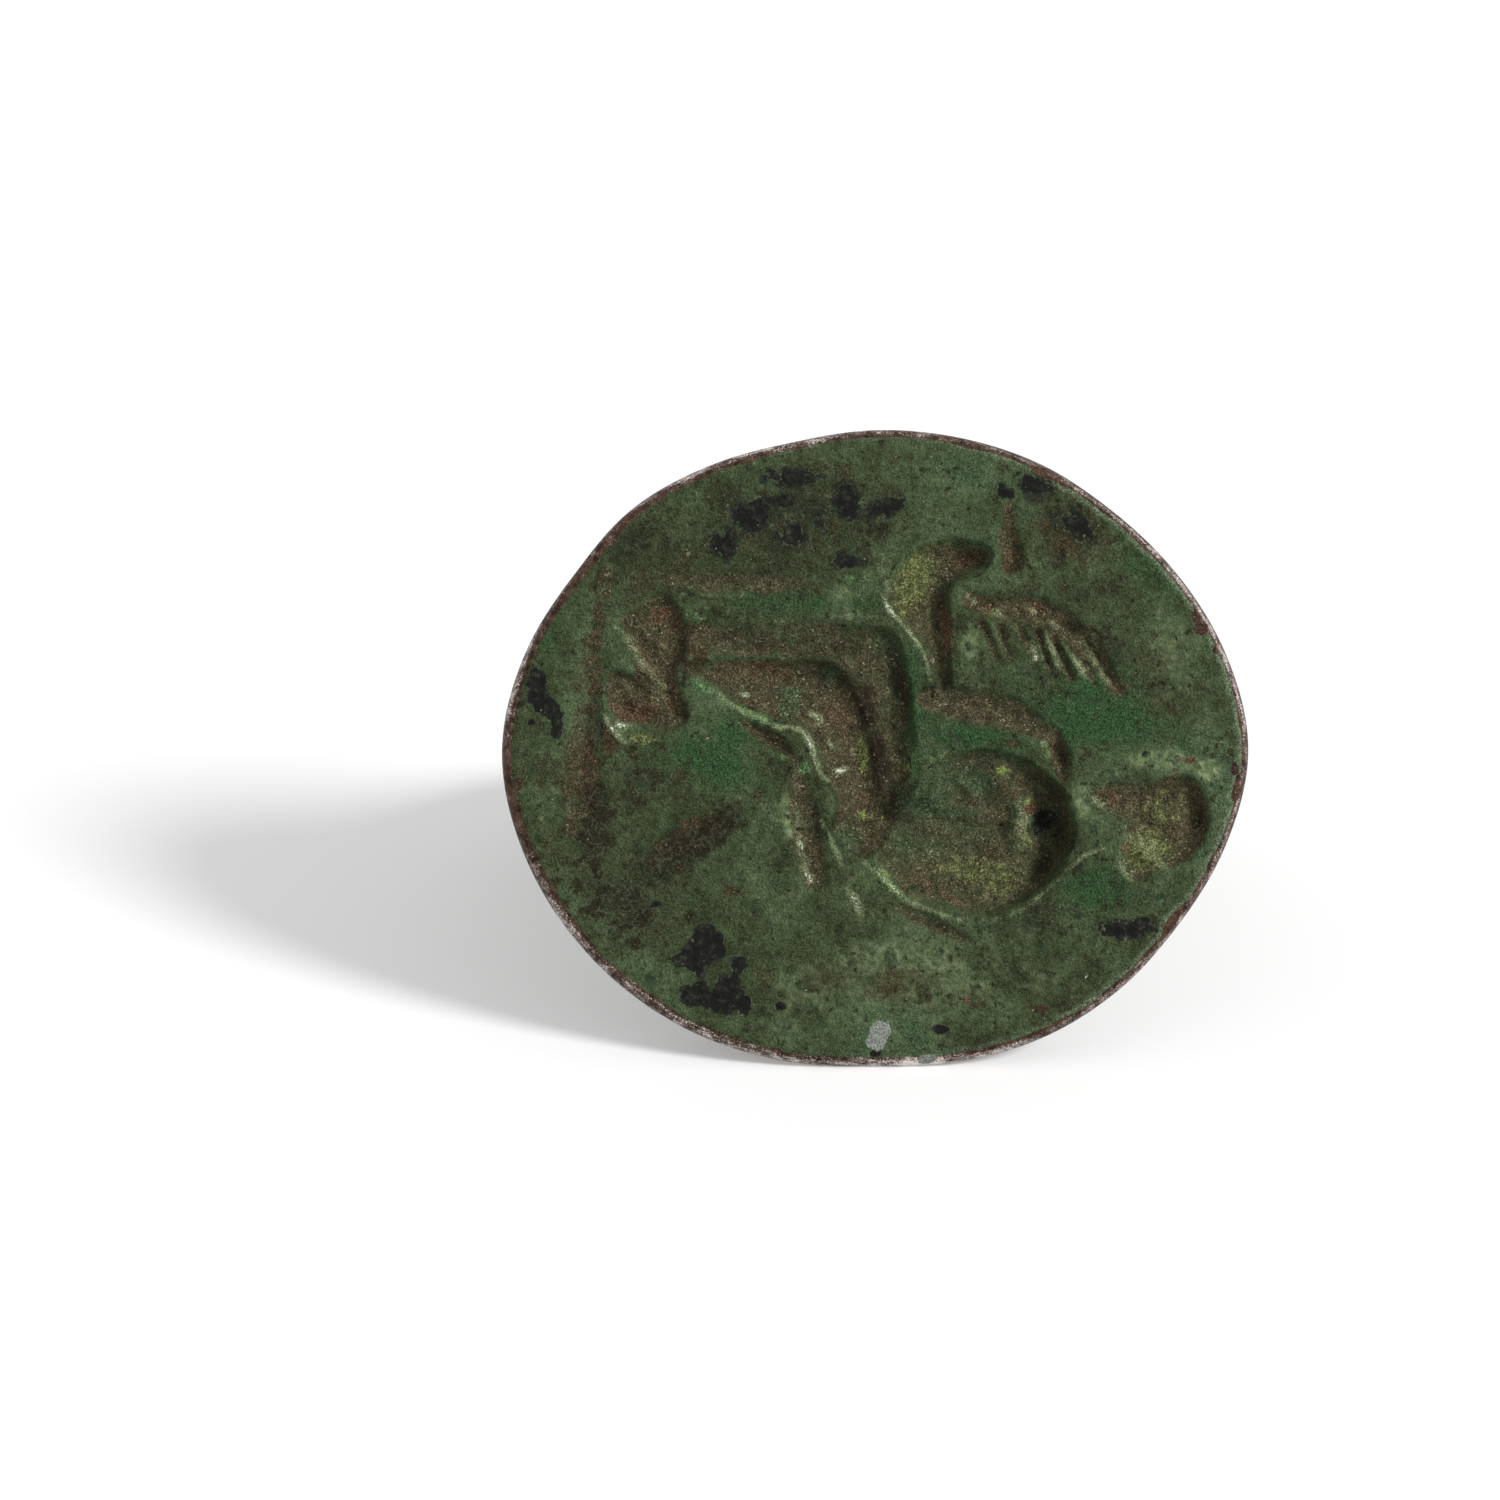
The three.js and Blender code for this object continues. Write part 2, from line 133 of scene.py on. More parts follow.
# Hollows cut to an outline: points, depth, width of the wall, how much narrower the wall gets and
# how much deeper the floor gets for each millimetre to the right
HOLLOWS = {
    "feet and stool": (
        [(-8.75, 4.3), (-8.4, 4.65), (-7.9, 4.85), (-7.4, 5.15), (-6.95, 5.2), (-6.62, 4.9),
         (-6.36, 4.4), (-6.2, 3.75), (-6.34, 3.1), (-6.55, 2.5), (-6.45, 1.8), (-6.22, 1.15),
         (-6.6, 0.72), (-7.3, 0.62), (-8.1, 0.75), (-8.7, 0.9), (-9.03, 1.4), (-9.12, 2.0),
         (-9.02, 2.62), (-8.6, 2.76), (-8.1, 2.6), (-7.95, 2.85), (-8.15, 3.35), (-8.5, 3.85)],
        0.3, 0.72, 0.1, 0.05),
    "near leg": (
        [(-6.4, 2.75), (-5.5, 3.12), (-4.5, 3.2), (-3.3, 3.1), (-2.2, 3.08), (-1.4, 2.88), (-0.8, 2.48),
         (-0.38, 1.9), (-0.1, 1.2), (0.1, 0.5), (0.25, -0.2), (0.4, -1.0), (0.5, -1.8), (0.7, -2.6),
         (0.4, -3.3), (-0.4, -3.75), (-1.0, -3.6), (-1.4, -3.1), (-1.5, -2.5), (-1.4, -1.7),
         (-1.7, -1.0), (-1.95, -0.4), (-2.15, 0.2), (-2.5, 0.65), (-3.2, 0.8), (-4.0, 1.05),
         (-4.8, 1.5), (-5.7, 2.1)],
        0.62, 1.45, 0.05, 0.05),
    "far thigh": (
        [(-1.2, 4.15), (-0.4, 4.25), (0.3, 4.15), (0.75, 3.8), (1.0, 3.2), (1.15, 2.4), (1.25, 1.5),
         (1.3, 0.6), (1.3, -0.3), (1.15, -1.2), (0.6, -1.9), (-0.1, -1.4), (-0.5, -0.5), (-0.75, 0.3),
         (-0.9, 1.2), (-1.1, 2.0), (-1.4, 2.7), (-1.6, 3.4)],
        0.46, 1.0, 0.3, 0.12),
    "bird": (
        [(0.35, 5.4), (0.7, 5.95), (1.2, 6.6), (1.9, 7.0), (2.6, 7.15), (3.3, 7.0), (3.85, 6.7),
         (3.8, 6.2), (3.3, 5.75), (2.65, 5.45), (2.45, 4.9), (2.55, 4.3), (2.5, 3.6), (2.6, 2.9),
         (2.6, 2.2), (2.3, 1.8), (1.95, 2.0), (1.75, 2.7), (1.6, 3.2), (1.3, 3.65), (1.0, 4.05),
         (0.65, 4.45), (0.4, 4.85)],
        0.56, 1.35, 0.12, 0.08),
    "body": (
        [(0.2, -4.05), (0.6, -4.6), (1.1, -4.98), (1.8, -5.3), (2.6, -5.55), (3.4, -5.62), (4.2, -5.5),
         (5.0, -5.1), (5.7, -4.55), (6.25, -3.9), (6.58, -3.1), (6.65, -2.3), (6.42, -1.55),
         (5.9, -0.9), (5.2, -0.4), (4.4, -0.1), (3.6, 0.05), (2.8, 0.0), (2.2, -0.3), (1.8, -1.0),
         (1.4, -1.6), (0.9, -1.9), (0.4, -2.2), (0.05, -2.8), (0.0, -3.5)],
        0.62, 1.2, 0.15, 0.07),
    "head": (
        [(7.0, -1.35), (7.7, -1.0), (8.5, -1.0), (8.9, -0.88), (9.2, -0.97), (9.5, -0.85), (9.9, -0.72),
         (10.5, -0.85), (10.95, -1.25), (11.2, -1.8), (11.2, -2.5), (11.0, -3.1), (10.6, -3.6),
         (10.0, -3.95), (9.4, -4.1), (8.9, -4.4), (8.4, -4.35), (8.15, -3.9), (8.15, -3.3),
         (8.2, -2.75), (7.8, -2.35), (7.3, -2.15), (7.0, -1.8)],
        0.34, 0.9, 0.18, 0.03),
}

# A hollow's wall: first a steep lip, then a slope that eases into the floor
LIP_SHARE = 0.34  # of the depth
LIP_WIDTH = 0.3

# Strokes that go deeper into the floor of a hollow
CARVED = {
    "front of the stool": [
        (-6.9, 4.9, 0.25, 0.03), (-6.7, 4.0, 0.3, 0.06), (-6.8, 2.6, 0.3, 0.06),
        (-6.7, 1.3, 0.3, 0.06)],
    "between the feet": [
        (-8.7, 2.6, 0.2, 0.1), (-8.2, 2.35, 0.25, 0.16), (-7.75, 1.7, 0.25, 0.12)],
    "near foot": [(-8.6, 2.0, 0.3, 0.1), (-8.3, 1.3, 0.4, 0.16), (-7.4, 1.05, 0.35, 0.12)],
    "far foot": [(-8.3, 4.1, 0.25, 0.1), (-7.8, 3.5, 0.28, 0.14), (-7.2, 2.9, 0.28, 0.1)],
    "calf": [(-4.6, 2.7, 0.4, 0.06), (-3.2, 2.5, 0.5, 0.12), (-1.9, 2.3, 0.7, 0.16),
             (-1.0, 1.7, 0.8, 0.2), (-0.5, 0.6, 0.8, 0.22), (-0.2, -0.6, 0.8, 0.24),
             (0.2, -1.7, 0.8, 0.26)],
    "crop of the bird": [
        (3.2, 6.4, 0.35, 0.1), (2.6, 6.0, 0.45, 0.16), (2.05, 5.3, 0.5, 0.24), (2.15, 4.3, 0.4, 0.18)],
    "hem": [(2.5, -0.8, 0.3, 0.05), (2.75, -1.4, 0.4, 0.1), (2.5, -1.7, 0.3, 0.05)],
    "back": [(5.2, -1.2, 0.4, 0.06), (5.75, -1.9, 0.5, 0.2), (5.95, -2.8, 0.6, 0.3),
             (5.7, -3.7, 0.6, 0.3), (5.1, -4.5, 0.45, 0.16), (4.5, -4.95, 0.32, 0.06)],
    "ankle": [(-7.9, 4.4, 0.25, 0.04), (-7.5, 4.2, 0.35, 0.1), (-7.1, 4.3, 0.3, 0.06)],
    "hair": [(10.3, -1.4, 0.3, 0.03), (10.7, -2.0, 0.36, 0.14), (10.65, -2.7, 0.36, 0.14),
             (10.2, -3.4, 0.3, 0.04)],
}

# What stands up from a floor: x, up, half length, half width, turn in degrees, height
MOUNDS = {
    "heel": (-7.8, 3.0, 1.5, 0.3, -52, 0.24),
    "instep": (-7.6, 1.5, 0.9, 0.4, 10, 0.1),
    "lap": (2.0, -1.3, 1.1, 0.9, -30, 0.34),
    "arm across the body": (3.2, -2.15, 1.5, 0.4, -8, 0.2),
    "edge of the arm": (3.0, -1.15, 1.3, 0.3, -54, 0.16),
    "hand": (4.8, -2.6, 1.0, 0.55, 76, 0.44),
    "breast": (4.5, -1.15, 1.4, 0.95, -32, 0.36),
    "jaw": (8.9, -3.3, 0.9, 0.55, -35, 0.2),
    "cheek": (9.6, -2.2, 0.8, 0.6, 0, 0.1),
    "wing joint": (4.15, 4.75, 0.3, 0.45, 0, 0.1),
    "wing joint two": (5.15, 4.7, 0.25, 0.45, 0, 0.12),
    "wing joint three": (6.05, 4.4, 0.25, 0.45, -20, 0.12),
}

# Edges worn down to bright grains, and painted highlights along the lit edges of the cuts: x, up, half width
# and how worn, at points along each
WORN_AND_HIGHLIT_EDGES = {
    "calf": [(-5.6, 2.1, 0.1, 0.4), (-4.9, 1.55, 0.14, 0.6), (-4.1, 1.12, 0.14, 0.64),
             (-3.3, 0.8, 0.14, 0.56), (-2.65, 0.73, 0.14, 0.76), (-2.28, 0.45, 0.18, 1),
             (-2.08, -0.1, 0.16, 0.88), (-1.85, -0.7, 0.14, 0.72), (-1.55, -1.05, 0.1, 0.64)],
    "bird's tail": [(0.2, 5.2, 0.14, 0.51), (0.45, 4.72, 0.16, 0.98), (0.8, 4.3, 0.1, 0.81),
                    (1.1, 3.95, 0.1, 0.85), (1.4, 3.6, 0.1, 0.85), (1.7, 3.0, 0.1, 0.68),
                    (1.8, 2.3, 0.14, 0.34)],
    "bird's breast": [(0.1, 6.4, 0.3, 0.28), (0.3, 5.9, 0.3, 0.39), (0.5, 5.4, 0.25, 0.35)],
    "stool": [(-9.05, 1.2, 0.1, 0.6), (-8.8, 0.75, 0.14, 1.0), (-8.55, 0.45, 0.14, 0.9),
              (-8.15, 0.2, 0.14, 0.5)],
    "stool chip": [(-8.6, 0.85, 0.16, 1.1), (-8.45, 0.82, 0.16, 1.15), (-8.3, 0.78, 0.12, 0.9)],
    "heel": [(-8.6, 4.05, 0.2, 0.4), (-8.2, 3.6, 0.22, 0.5), (-7.9, 3.1, 0.22, 0.6),
             (-7.5, 2.5, 0.24, 0.55), (-7.1, 2.05, 0.22, 0.4)],
    "far toe": [(-7.75, 4.55, 0.2, 0.35), (-7.5, 4.4, 0.2, 0.3)],
    "shin": [(-4.45, 1.85, 0.14, 0.9), (-4.3, 1.83, 0.14, 0.9)],
    "shin glint": [(-5.25, 1.88, 0.1, 1.0), (-5.15, 1.86, 0.1, 1.0)],
    "knee": [(-2.15, 1.2, 0.16, 0.75), (-1.9, 1.1, 0.18, 0.8), (-1.7, 0.9, 0.14, 0.4)],
    "knee low": [(-1.55, 0.25, 0.16, 0.9), (-1.45, 0.15, 0.16, 0.8)],
    "thigh": [(-1.25, -0.72, 0.16, 1.1), (-1.0, -0.62, 0.14, 1.0)],
    "seat": [(-2.7, -1.5, 0.24, 0.22), (-2.65, -2.0, 0.26, 0.33), (-2.5, -3.1, 0.26, 0.41),
             (-2.3, -4.1, 0.26, 0.44), (-2.15, -4.45, 0.2, 0.28)],
    "seat low": [(-2.55, -3.05, 0.12, 1.1), (-2.45, -3.25, 0.12, 1.1)],
    "seat foot": [(-2.3, -4.15, 0.12, 1.05), (-2.15, -4.35, 0.12, 1.0)],
    "seat edge": [(-1.65, -2.7, 0.14, 0.52), (-1.35, -3.3, 0.14, 0.64), (-1.1, -3.8, 0.14, 0.45)],
    "under the hip": [(-0.95, -4.6, 0.2, 0.5), (-0.65, -5.05, 0.24, 0.85), (-0.45, -5.5, 0.18, 0.55)],
    "belly": [(-0.5, -3.7, 0.16, 0.5), (0.1, -4.1, 0.15, 0.75), (0.6, -4.6, 0.16, 0.82),
              (1.1, -5.0, 0.16, 0.66), (2.0, -5.42, 0.16, 0.55), (3.0, -5.68, 0.14, 0.4),
              (4.2, -5.6, 0.08, 0.3), (5.2, -5.1, 0.08, 0.45), (6.1, -4.3, 0.08, 0.3)],
    "crack": [(6.4, -4.0, 0.1, 0.5), (7.0, -3.5, 0.14, 0.6), (7.6, -3.3, 0.1, 0.4)],
    "feather": [(5.15, 3.6, 0.12, 0.6), (5.35, 3.05, 0.16, 0.95)],
    "feather two": [(5.65, 3.85, 0.16, 0.6), (5.9, 3.3, 0.2, 0.7), (6.1, 2.8, 0.16, 0.45)],
    "feather three": [(6.5, 3.3, 0.14, 0.45), (6.8, 2.75, 0.22, 0.7), (7.0, 2.45, 0.16, 0.5)],
    "feather four": [(6.9, 3.7, 0.2, 0.4), (7.4, 2.9, 0.22, 0.5), (7.8, 2.2, 0.18, 0.5)],
    "wing": [(3.1, 5.15, 0.2, 0.55), (3.3, 4.95, 0.16, 0.5)],
    "wing two": [(4.0, 4.65, 0.2, 0.7), (4.2, 4.5, 0.16, 0.7)],
    "wing three": [(5.0, 4.8, 0.2, 0.55), (5.3, 4.6, 0.2, 0.5)],
    "wing four": [(5.9, 4.25, 0.18, 0.7), (6.1, 4.1, 0.16, 0.6)],
    "shoulder": [(5.6, 0.2, 0.2, 0.7), (5.75, -0.1, 0.18, 0.6)],
    "hand": [(4.85, -1.8, 0.26, 0.4), (4.95, -2.5, 0.34, 0.55), (4.9, -3.3, 0.28, 0.5)],
    "jaw": [(8.15, -3.6, 0.2, 0.5), (8.25, -4.0, 0.2, 0.75), (8.5, -4.35, 0.16, 0.45)],
    "cheek": [(8.6, -2.9, 0.5, 0.25), (9.1, -3.3, 0.6, 0.4), (9.5, -3.7, 0.4, 0.3)],
    "neck": [(7.3, -1.65, 0.22, 0.7), (7.55, -1.85, 0.18, 0.6)],
    "left flat": [(-11.15, -2.25, 0.08, 1.1), (-11.1, -2.3, 0.08, 1.1)],
    "lower flat": [(7.05, -7.5, 0.08, 1.1), (7.0, -7.55, 0.08, 1.1)],
    "upper flat": [(-6.25, 6.5, 0.1, 0.9), (-6.2, 6.55, 0.1, 0.9)],
    "far knee": [(-4.8, 4.28, 0.1, 0.24), (-3.6, 4.28, 0.1, 0.27), (-1.9, 4.35, 0.1, 0.24),
                 (-1.05, 4.48, 0.12, 0.45), (-0.4, 4.45, 0.1, 0.33), (0.15, 4.45, 0.1, 0.36)],
    "staff": [(-6.5, 5.2, 0.1, 0.35), (-5.4, 5.15, 0.1, 0.4), (-4.4, 5.15, 0.1, 0.35)],
}

# Stains of the patina, and painted shade on the shadowed walls of the cuts: x, up, half length, half width,
# turn in degrees, strength
STAINS = {
    "black": [
        (-2.4, 7.8, 3.0, 1.6, -4, 0.36), (-4.1, 7.8, 1.0, 0.7, 25, 0.82),
        (-2.7, 9.1, 1.5, 0.5, 0, 0.68), (-3.1, 8.3, 0.7, 0.4, 0, 0.74),
        (-0.95, 8.2, 0.75, 1.0, 0, 0.72), (0.3, 8.1, 1.0, 0.55, 10, 0.72),
        (-5.05, 6.75, 0.7, 0.95, -20, 0.66), (-2.75, 7.1, 0.9, 0.65, 0, 0.66),
        (-1.0, 6.25, 0.8, 0.45, 0, 0.64), (4.2, 8.65, 0.25, 0.35, 0, 0.85),
        (4.5, 8.55, 0.2, 0.25, 0, 0.85), (5.3, 8.8, 0.9, 0.6, -20, 0.66),
        (6.65, 7.45, 1.1, 0.6, -30, 0.68), (8.35, -6.0, 1.25, 0.42, -5, 0.85),
        (8.9, -5.75, 0.4, 0.3, 0, 0.8), (2.2, -9.3, 0.3, 0.22, 0, 0.9),
        (-3.2, -8.55, 0.22, 0.18, 0, 0.8), (5.62, -2.35, 0.2, 0.3, 25, 0.5),
        (-11.84, 1.52, 0.14, 0.12, 0, 1.1), (-11.46, 0.92, 0.16, 0.14, 0, 1.1),
        (-11.57, 2.18, 0.1, 0.1, 0, 1.1), (2.95, -5.75, 0.12, 0.1, 0, 1.2),
        (9.0, -0.15, 0.16, 0.14, 0, 1), (-7.35, -5.15, 0.34, 0.18, 14, 0.72),
        (0.0, -10.1, 0.26, 0.16, 0, 1.0),
    ],
    "sooty": [
        (-8.2, -5.2, 3.0, 1.5, -30, 0.95), (-9.4, -2.6, 1.1, 2.4, 0, 1.0),
        (-2.3, 7.8, 3.6, 2.0, -4, 0.7), (-2.4, 9.15, 1.0, 0.55, 0, 1.2), (-3.8, 7.9, 1.0, 0.6, 20, 1.2),
        (-0.95, 8.7, 0.7, 0.5, 0, 1.1), (-2.8, 6.9, 0.7, 0.45, 0, 1.1), (-5.2, 6.7, 0.6, 0.5, 30, 1.0),
        (0.3, 7.3, 0.5, 0.7, 0, 0.9), (-0.6, 6.3, 0.7, 0.3, 0, 0.9), (5.4, 8.7, 0.9, 0.8, -30, 1.0),
        (6.6, 7.5, 1.2, 0.8, -35, 0.95), (5.9, 6.6, 0.8, 0.6, 0, 0.6), (-9.4, -2.4, 0.8, 2.0, 0, 0.8),
        (-6.2, -3.1, 2.6, 0.8, 33, 1.0), (-7.8, -1.0, 1.6, 1.4, 0, 0.55),
        (-8.2, -5.0, 2.2, 1.0, -30, 0.55), (-9.2, 4.6, 0.35, 2.2, -4, 0.7),
        (-9.3, 1.5, 0.4, 2.2, 0, 0.8), (2.2, -8.2, 1.6, 0.7, 10, 0.55), (-1.6, -7.6, 1.4, 0.7, 0, 0.5),
        (0.6, -2.0, 0.9, 0.9, 0, 0.6), (-10.6, -4.2, 0.8, 1.4, 20, 0.5), (7.6, 3.6, 0.7, 1.0, 30, 0.6),
        (-7.2, 7.2, 2.0, 0.6, 25, 0.25), (9.0, -5.9, 1.2, 0.6, 0, 0.6),
    ],
    "brown": [
        (3.4, -8.4, 0.9, 0.5, 0, 0.6), (6.4, -8.0, 0.6, 0.4, 0, 0.6), (-4.7, -4.7, 0.7, 0.3, 0, 0.7),
        (-8.9, 0.2, 0.4, 0.8, 0, 0.7), (-10.3, -1.4, 0.4, 1.0, 0, 0.7), (7.9, 2.0, 0.6, 0.4, 0, 0.6),
        (9.3, 2.9, 0.8, 0.4, 0, 0.5), (3.2, 7.6, 0.4, 0.3, 0, 0.6), (-6.5, -0.9, 0.7, 0.4, 0, 0.6),
        (1.35, -7.7, 1.7, 1.1, 0, 0.8), (-1.85, -7.85, 1.1, 1.0, 0, 0.7),
        (-2.3, 7.6, 4.2, 2.2, 0, 0.48), (-7.4, 6.0, 2.2, 0.8, 0, 0.36), (-6.0, 3.3, 0.5, 1.1, 0, 1.4),
        (-9.9, -0.6, 0.6, 1.8, 0, 0.9), (-6.3, -2.9, 1.9, 0.8, 30, 0.9), (6.3, 7.4, 2.0, 1.4, -30, 0.7),
        (9.6, 1.4, 1.4, 0.5, 0, 0.5), (4.4, 0.2, 1.5, 0.3, 0, 0.6),
    ],
    "emerald": [
        (-5.2, -0.3, 2.6, 1.5, -10, 0.7), (-1.6, 4.9, 2.2, 0.4, 0, 0.6), (7.2, 1.4, 3.0, 1.8, -20, 1),
        (7.6, -4.4, 1.7, 1.2, 30, 1), (-10.9, 3.7, 0.6, 1.1, 0, 0.5), (3.5, 0.4, 2.4, 0.6, -10, 0.9),
        (1.2, 1.5, 0.8, 2.4, 0, 0.8), (-4.6, 0.6, 2.2, 0.8, -15, 0.7), (-3.6, 4.9, 3.0, 0.5, 0, 0.6),
        (9.5, 6.0, 1.4, 2.0, 30, 0.6),
    ],
    "verdant": [
        (-4.2, 1.25, 1.7, 0.16, -24, 1.1), (-5.7, 2.05, 0.6, 0.2, -30, 1.0),
        (1.25, -0.5, 0.3, 1.0, 0, 0.9), (-2.35, -0.6, 0.35, 0.3, 0, 0.9),
        (0.4, -4.4, 0.8, 0.24, -42, 1.1), (5.6, 3.1, 0.2, 0.5, 10, 0.7), (-6.0, 4.5, 0.4, 0.3, 0, 0.7),
        (2.0, -0.3, 0.5, 0.5, 0, 0.6), (-3.1, -0.2, 0.6, 0.25, 0, 0.6),
        (-1.6, -2.9, 0.25, 0.9, 15, 0.6), (-0.7, 5.7, 0.9, 0.3, 0, 0.6), (9.2, -0.3, 1.0, 0.25, 0, 0.6),
    ],
    # Painted shade: dark spots along the walls of the cuts that lie in shadow
    "painted_wall_shade": [
        (0.9, -2.2, 0.9, 0.5, -20, 0.9), (2.4, -0.4, 0.7, 0.3, -30, 0.7),
        (3.1, -1.75, 0.9, 0.18, -10, 0.8), (-1.3, 2.6, 1.3, 0.45, -28, 1.0),
        (-0.3, 1.5, 0.5, 1.3, 12, 1.2), (0.1, -0.2, 0.45, 1.5, 8, 1.2), (0.5, -1.7, 0.8, 1.1, 20, 0.9),
        (0.85, 2.2, 0.4, 1.7, 10, 1.1), (0.2, 3.6, 0.5, 0.4, 0, 0.7), (-6.4, 3.2, 0.3, 1.8, 5, 0.8),
        (-6.35, 1.3, 0.3, 0.9, 0, 0.8), (-6.8, 4.9, 0.3, 0.5, 30, 0.6),
        (5.9, -1.3, 0.8, 0.35, -42, 0.9), (6.2, -2.7, 0.4, 1.1, 0, 1.0), (5.6, -3.9, 0.8, 0.4, 55, 1.0),
        (10.9, -2.2, 0.25, 0.8, 0, 0.9), (2.3, 4.9, 0.5, 1.0, 0, 0.7), (-9.35, 4.0, 0.2, 2.0, -3, 0.8),
        (-9.55, 0.5, 0.25, 2.2, -2, 0.9), (-9.6, -1.6, 0.3, 1.0, 0, 0.9),
        (-5.9, -2.9, 2.3, 0.6, 33, 1.1), (-1.95, -2.6, 0.14, 1.6, 5, 0.9),
        (6.3, -0.2, 0.2, 0.6, 0, 0.8), (-3.4, 3.6, 2.6, 0.5, 0, 0.85), (-1.0, 3.5, 0.9, 0.5, 0, 0.8),
        (-5.5, 5.6, 1.1, 0.3, 0, 0.6), (-3.3, 0.15, 0.7, 0.2, -40, 0.8), (8.0, 3.3, 0.4, 0.8, 30, 0.7),
        (1.7, -5.75, 1.2, 0.2, -18, 0.6),
    ],
    "leafy": [
        (-2.9, 1.8, 0.6, 0.9, 0, 0.95), (-1.5, 2.55, 0.7, 0.35, -20, 0.95),
        (1.2, -1.4, 1.0, 0.6, 0, 0.8), (-4.9, 2.2, 0.5, 0.3, 0, 0.6), (5.2, -2.4, 0.35, 0.5, 0, 0.9),
        (3.0, -2.6, 1.6, 0.5, -10, 0.7), (-1.0, -3.0, 0.7, 0.9, 0, 0.9), (0.35, 3.6, 0.8, 0.7, 0, 0.8),
        (0.6, 1.6, 0.5, 1.8, 0, 0.5), (1.6, -1.7, 1.4, 1.0, 0, 1.0), (2.6, -1.0, 1.2, 0.8, 0, 0.95),
        (1.5, -3.2, 1.5, 0.5, 0, 0.8), (3.5, -1.1, 0.8, 0.7, -30, 1.1), (2.6, -2.05, 1.3, 0.3, -8, 1.1),
        (4.7, -2.3, 0.35, 0.9, -10, 1.0), (0.9, -3.1, 0.8, 1.0, 0, 0.9), (1.5, 0.4, 1.0, 0.9, 0, 0.7),
        (-2.9, 3.7, 1.6, 0.4, 0, 0.6), (-7.4, 4.1, 0.6, 0.4, 0, 0.7), (-8.6, 3.2, 0.3, 0.4, 0, 0.6),
        (7.6, -1.7, 0.9, 0.6, 0, 0.95), (8.3, -2.3, 0.5, 0.5, 0, 0.7), (9.2, -1.4, 0.8, 0.4, 0, 0.5),
        (-2.9, 2.5, 1.2, 0.4, 0, 0.45), (2.2, 3.6, 0.3, 1.2, 0, 0.4), (-6.9, 2.4, 0.3, 0.5, 0, 0.7),
        (4.8, -3.2, 0.6, 0.4, 0, 0.7), (8.6, -3.9, 0.5, 0.4, 0, 0.5),
    ],
    # Yellow-green grains, laid mostly on the lit slopes and floors of the cuts: partly the patina's own
    # colour, partly painted light
    "gold": [
        (3.2, -4.0, 2.0, 0.7, -8, 0.8), (4.3, -4.4, 1.2, 0.8, 20, 0.8), (4.9, -2.9, 0.6, 1.0, 0, 0.8),
        (9.1, -3.3, 1.2, 0.9, 20, 1.1), (9.6, -2.0, 1.3, 0.9, 0, 0.78), (1.3, 5.6, 0.8, 1.5, -20, 1.15),
        (-7.8, 0.4, 0.7, 0.3, 0, 1), (-0.4, 0.1, 0.3, 0.8, 0, 0.9), (-0.4, -2.2, 0.25, 0.25, 0, 1),
        (4.25, -0.75, 0.3, 0.3, 0, 1.3), (3.85, 4.6, 0.35, 0.3, 0, 0.9), (5.5, 4.2, 0.3, 0.25, 0, 0.8),
        (5.2, 3.4, 0.4, 0.5, 0, 0.6), (4.45, 6.9, 0.25, 0.5, 0, 0.6), (0.0, -2.6, 0.6, 0.9, 30, 0.5),
    ],
    "lime": [
        (4.22, -0.7, 0.24, 0.2, 0, 1.1), (-0.36, -0.45, 0.16, 0.45, -20, 0.8),
        (-0.5, 0.3, 0.14, 0.5, -15, 0.6), (-0.38, -2.15, 0.14, 0.26, 0, 0.85),
        (0.23, -2.25, 0.12, 0.16, 0, 0.7), (0.35, -4.15, 0.3, 0.14, -40, 0.9),
        (5.1, -1.75, 0.15, 0.2, 0, 0.8), (-2.7, 2.4, 0.4, 0.15, 0, 0.5), (-4.3, 2.3, 0.4, 0.15, 0, 0.5),
        (0.95, 4.6, 0.2, 0.25, 0, 0.7), (-2.0, 5.3, 0.4, 0.12, 0, 0.5), (7.3, 3.6, 0.3, 0.12, -40, 0.5),
        (0.9, -5.0, 0.3, 0.12, -30, 0.8), (-6.2, 5.4, 0.3, 0.1, 0, 0.5), (9.1, -3.5, 0.3, 0.3, 0, 0.4),
        (1.1, -0.6, 0.15, 0.4, 0, 0.6), (6.6, -4.05, 0.3, 0.1, 30, 0.4),
        (-8.9, 0.6, 0.3, 0.08, -50, 0.5),
    ],
    "rust": [
        (5.2, -1.95, 0.4, 0.3, 0, 1.0), (4.85, -2.7, 0.16, 0.4, 0, 1.0), (4.6, -1.5, 0.3, 0.2, 0, 0.8),
        (4.3, -1.3, 0.5, 0.3, -30, 0.6), (-1.2, 0.9, 0.6, 1.2, 20, 0.55), (-5.0, 2.6, 0.8, 0.3, 0, 0.6),
        (0.9, -4.6, 0.8, 0.3, -30, 0.6), (2.2, 6.6, 0.8, 0.3, 0, 0.5), (-7.9, 1.2, 0.6, 0.3, 0, 0.6),
        (-6.9, 4.6, 0.4, 0.2, 0, 0.7), (-0.4, -1.6, 0.5, 0.8, 20, 0.5), (-2.5, -1.4, 0.12, 0.6, 0, 0.6),
        (1.7, -4.5, 1.5, 0.4, -20, 0.6), (2.6, -5.0, 1.2, 0.25, -12, 0.6),
        (3.8, 4.75, 0.7, 0.3, -10, 0.75), (5.2, 4.75, 0.8, 0.3, 0, 0.75),
        (6.1, 4.3, 0.6, 0.25, -35, 0.7), (2.35, 3.9, 0.35, 1.5, 0, 0.75),
        (3.0, 6.3, 0.8, 0.4, 20, 0.75), (4.6, 6.5, 0.35, 0.6, 0, 0.6), (-7.2, 4.4, 0.9, 0.8, 0, 0.75),
        (-8.0, 1.3, 1.1, 0.6, 0, 0.8), (-6.8, 2.2, 0.5, 1.6, 0, 0.65), (-7.7, 2.9, 0.4, 1.3, 35, 0.7),
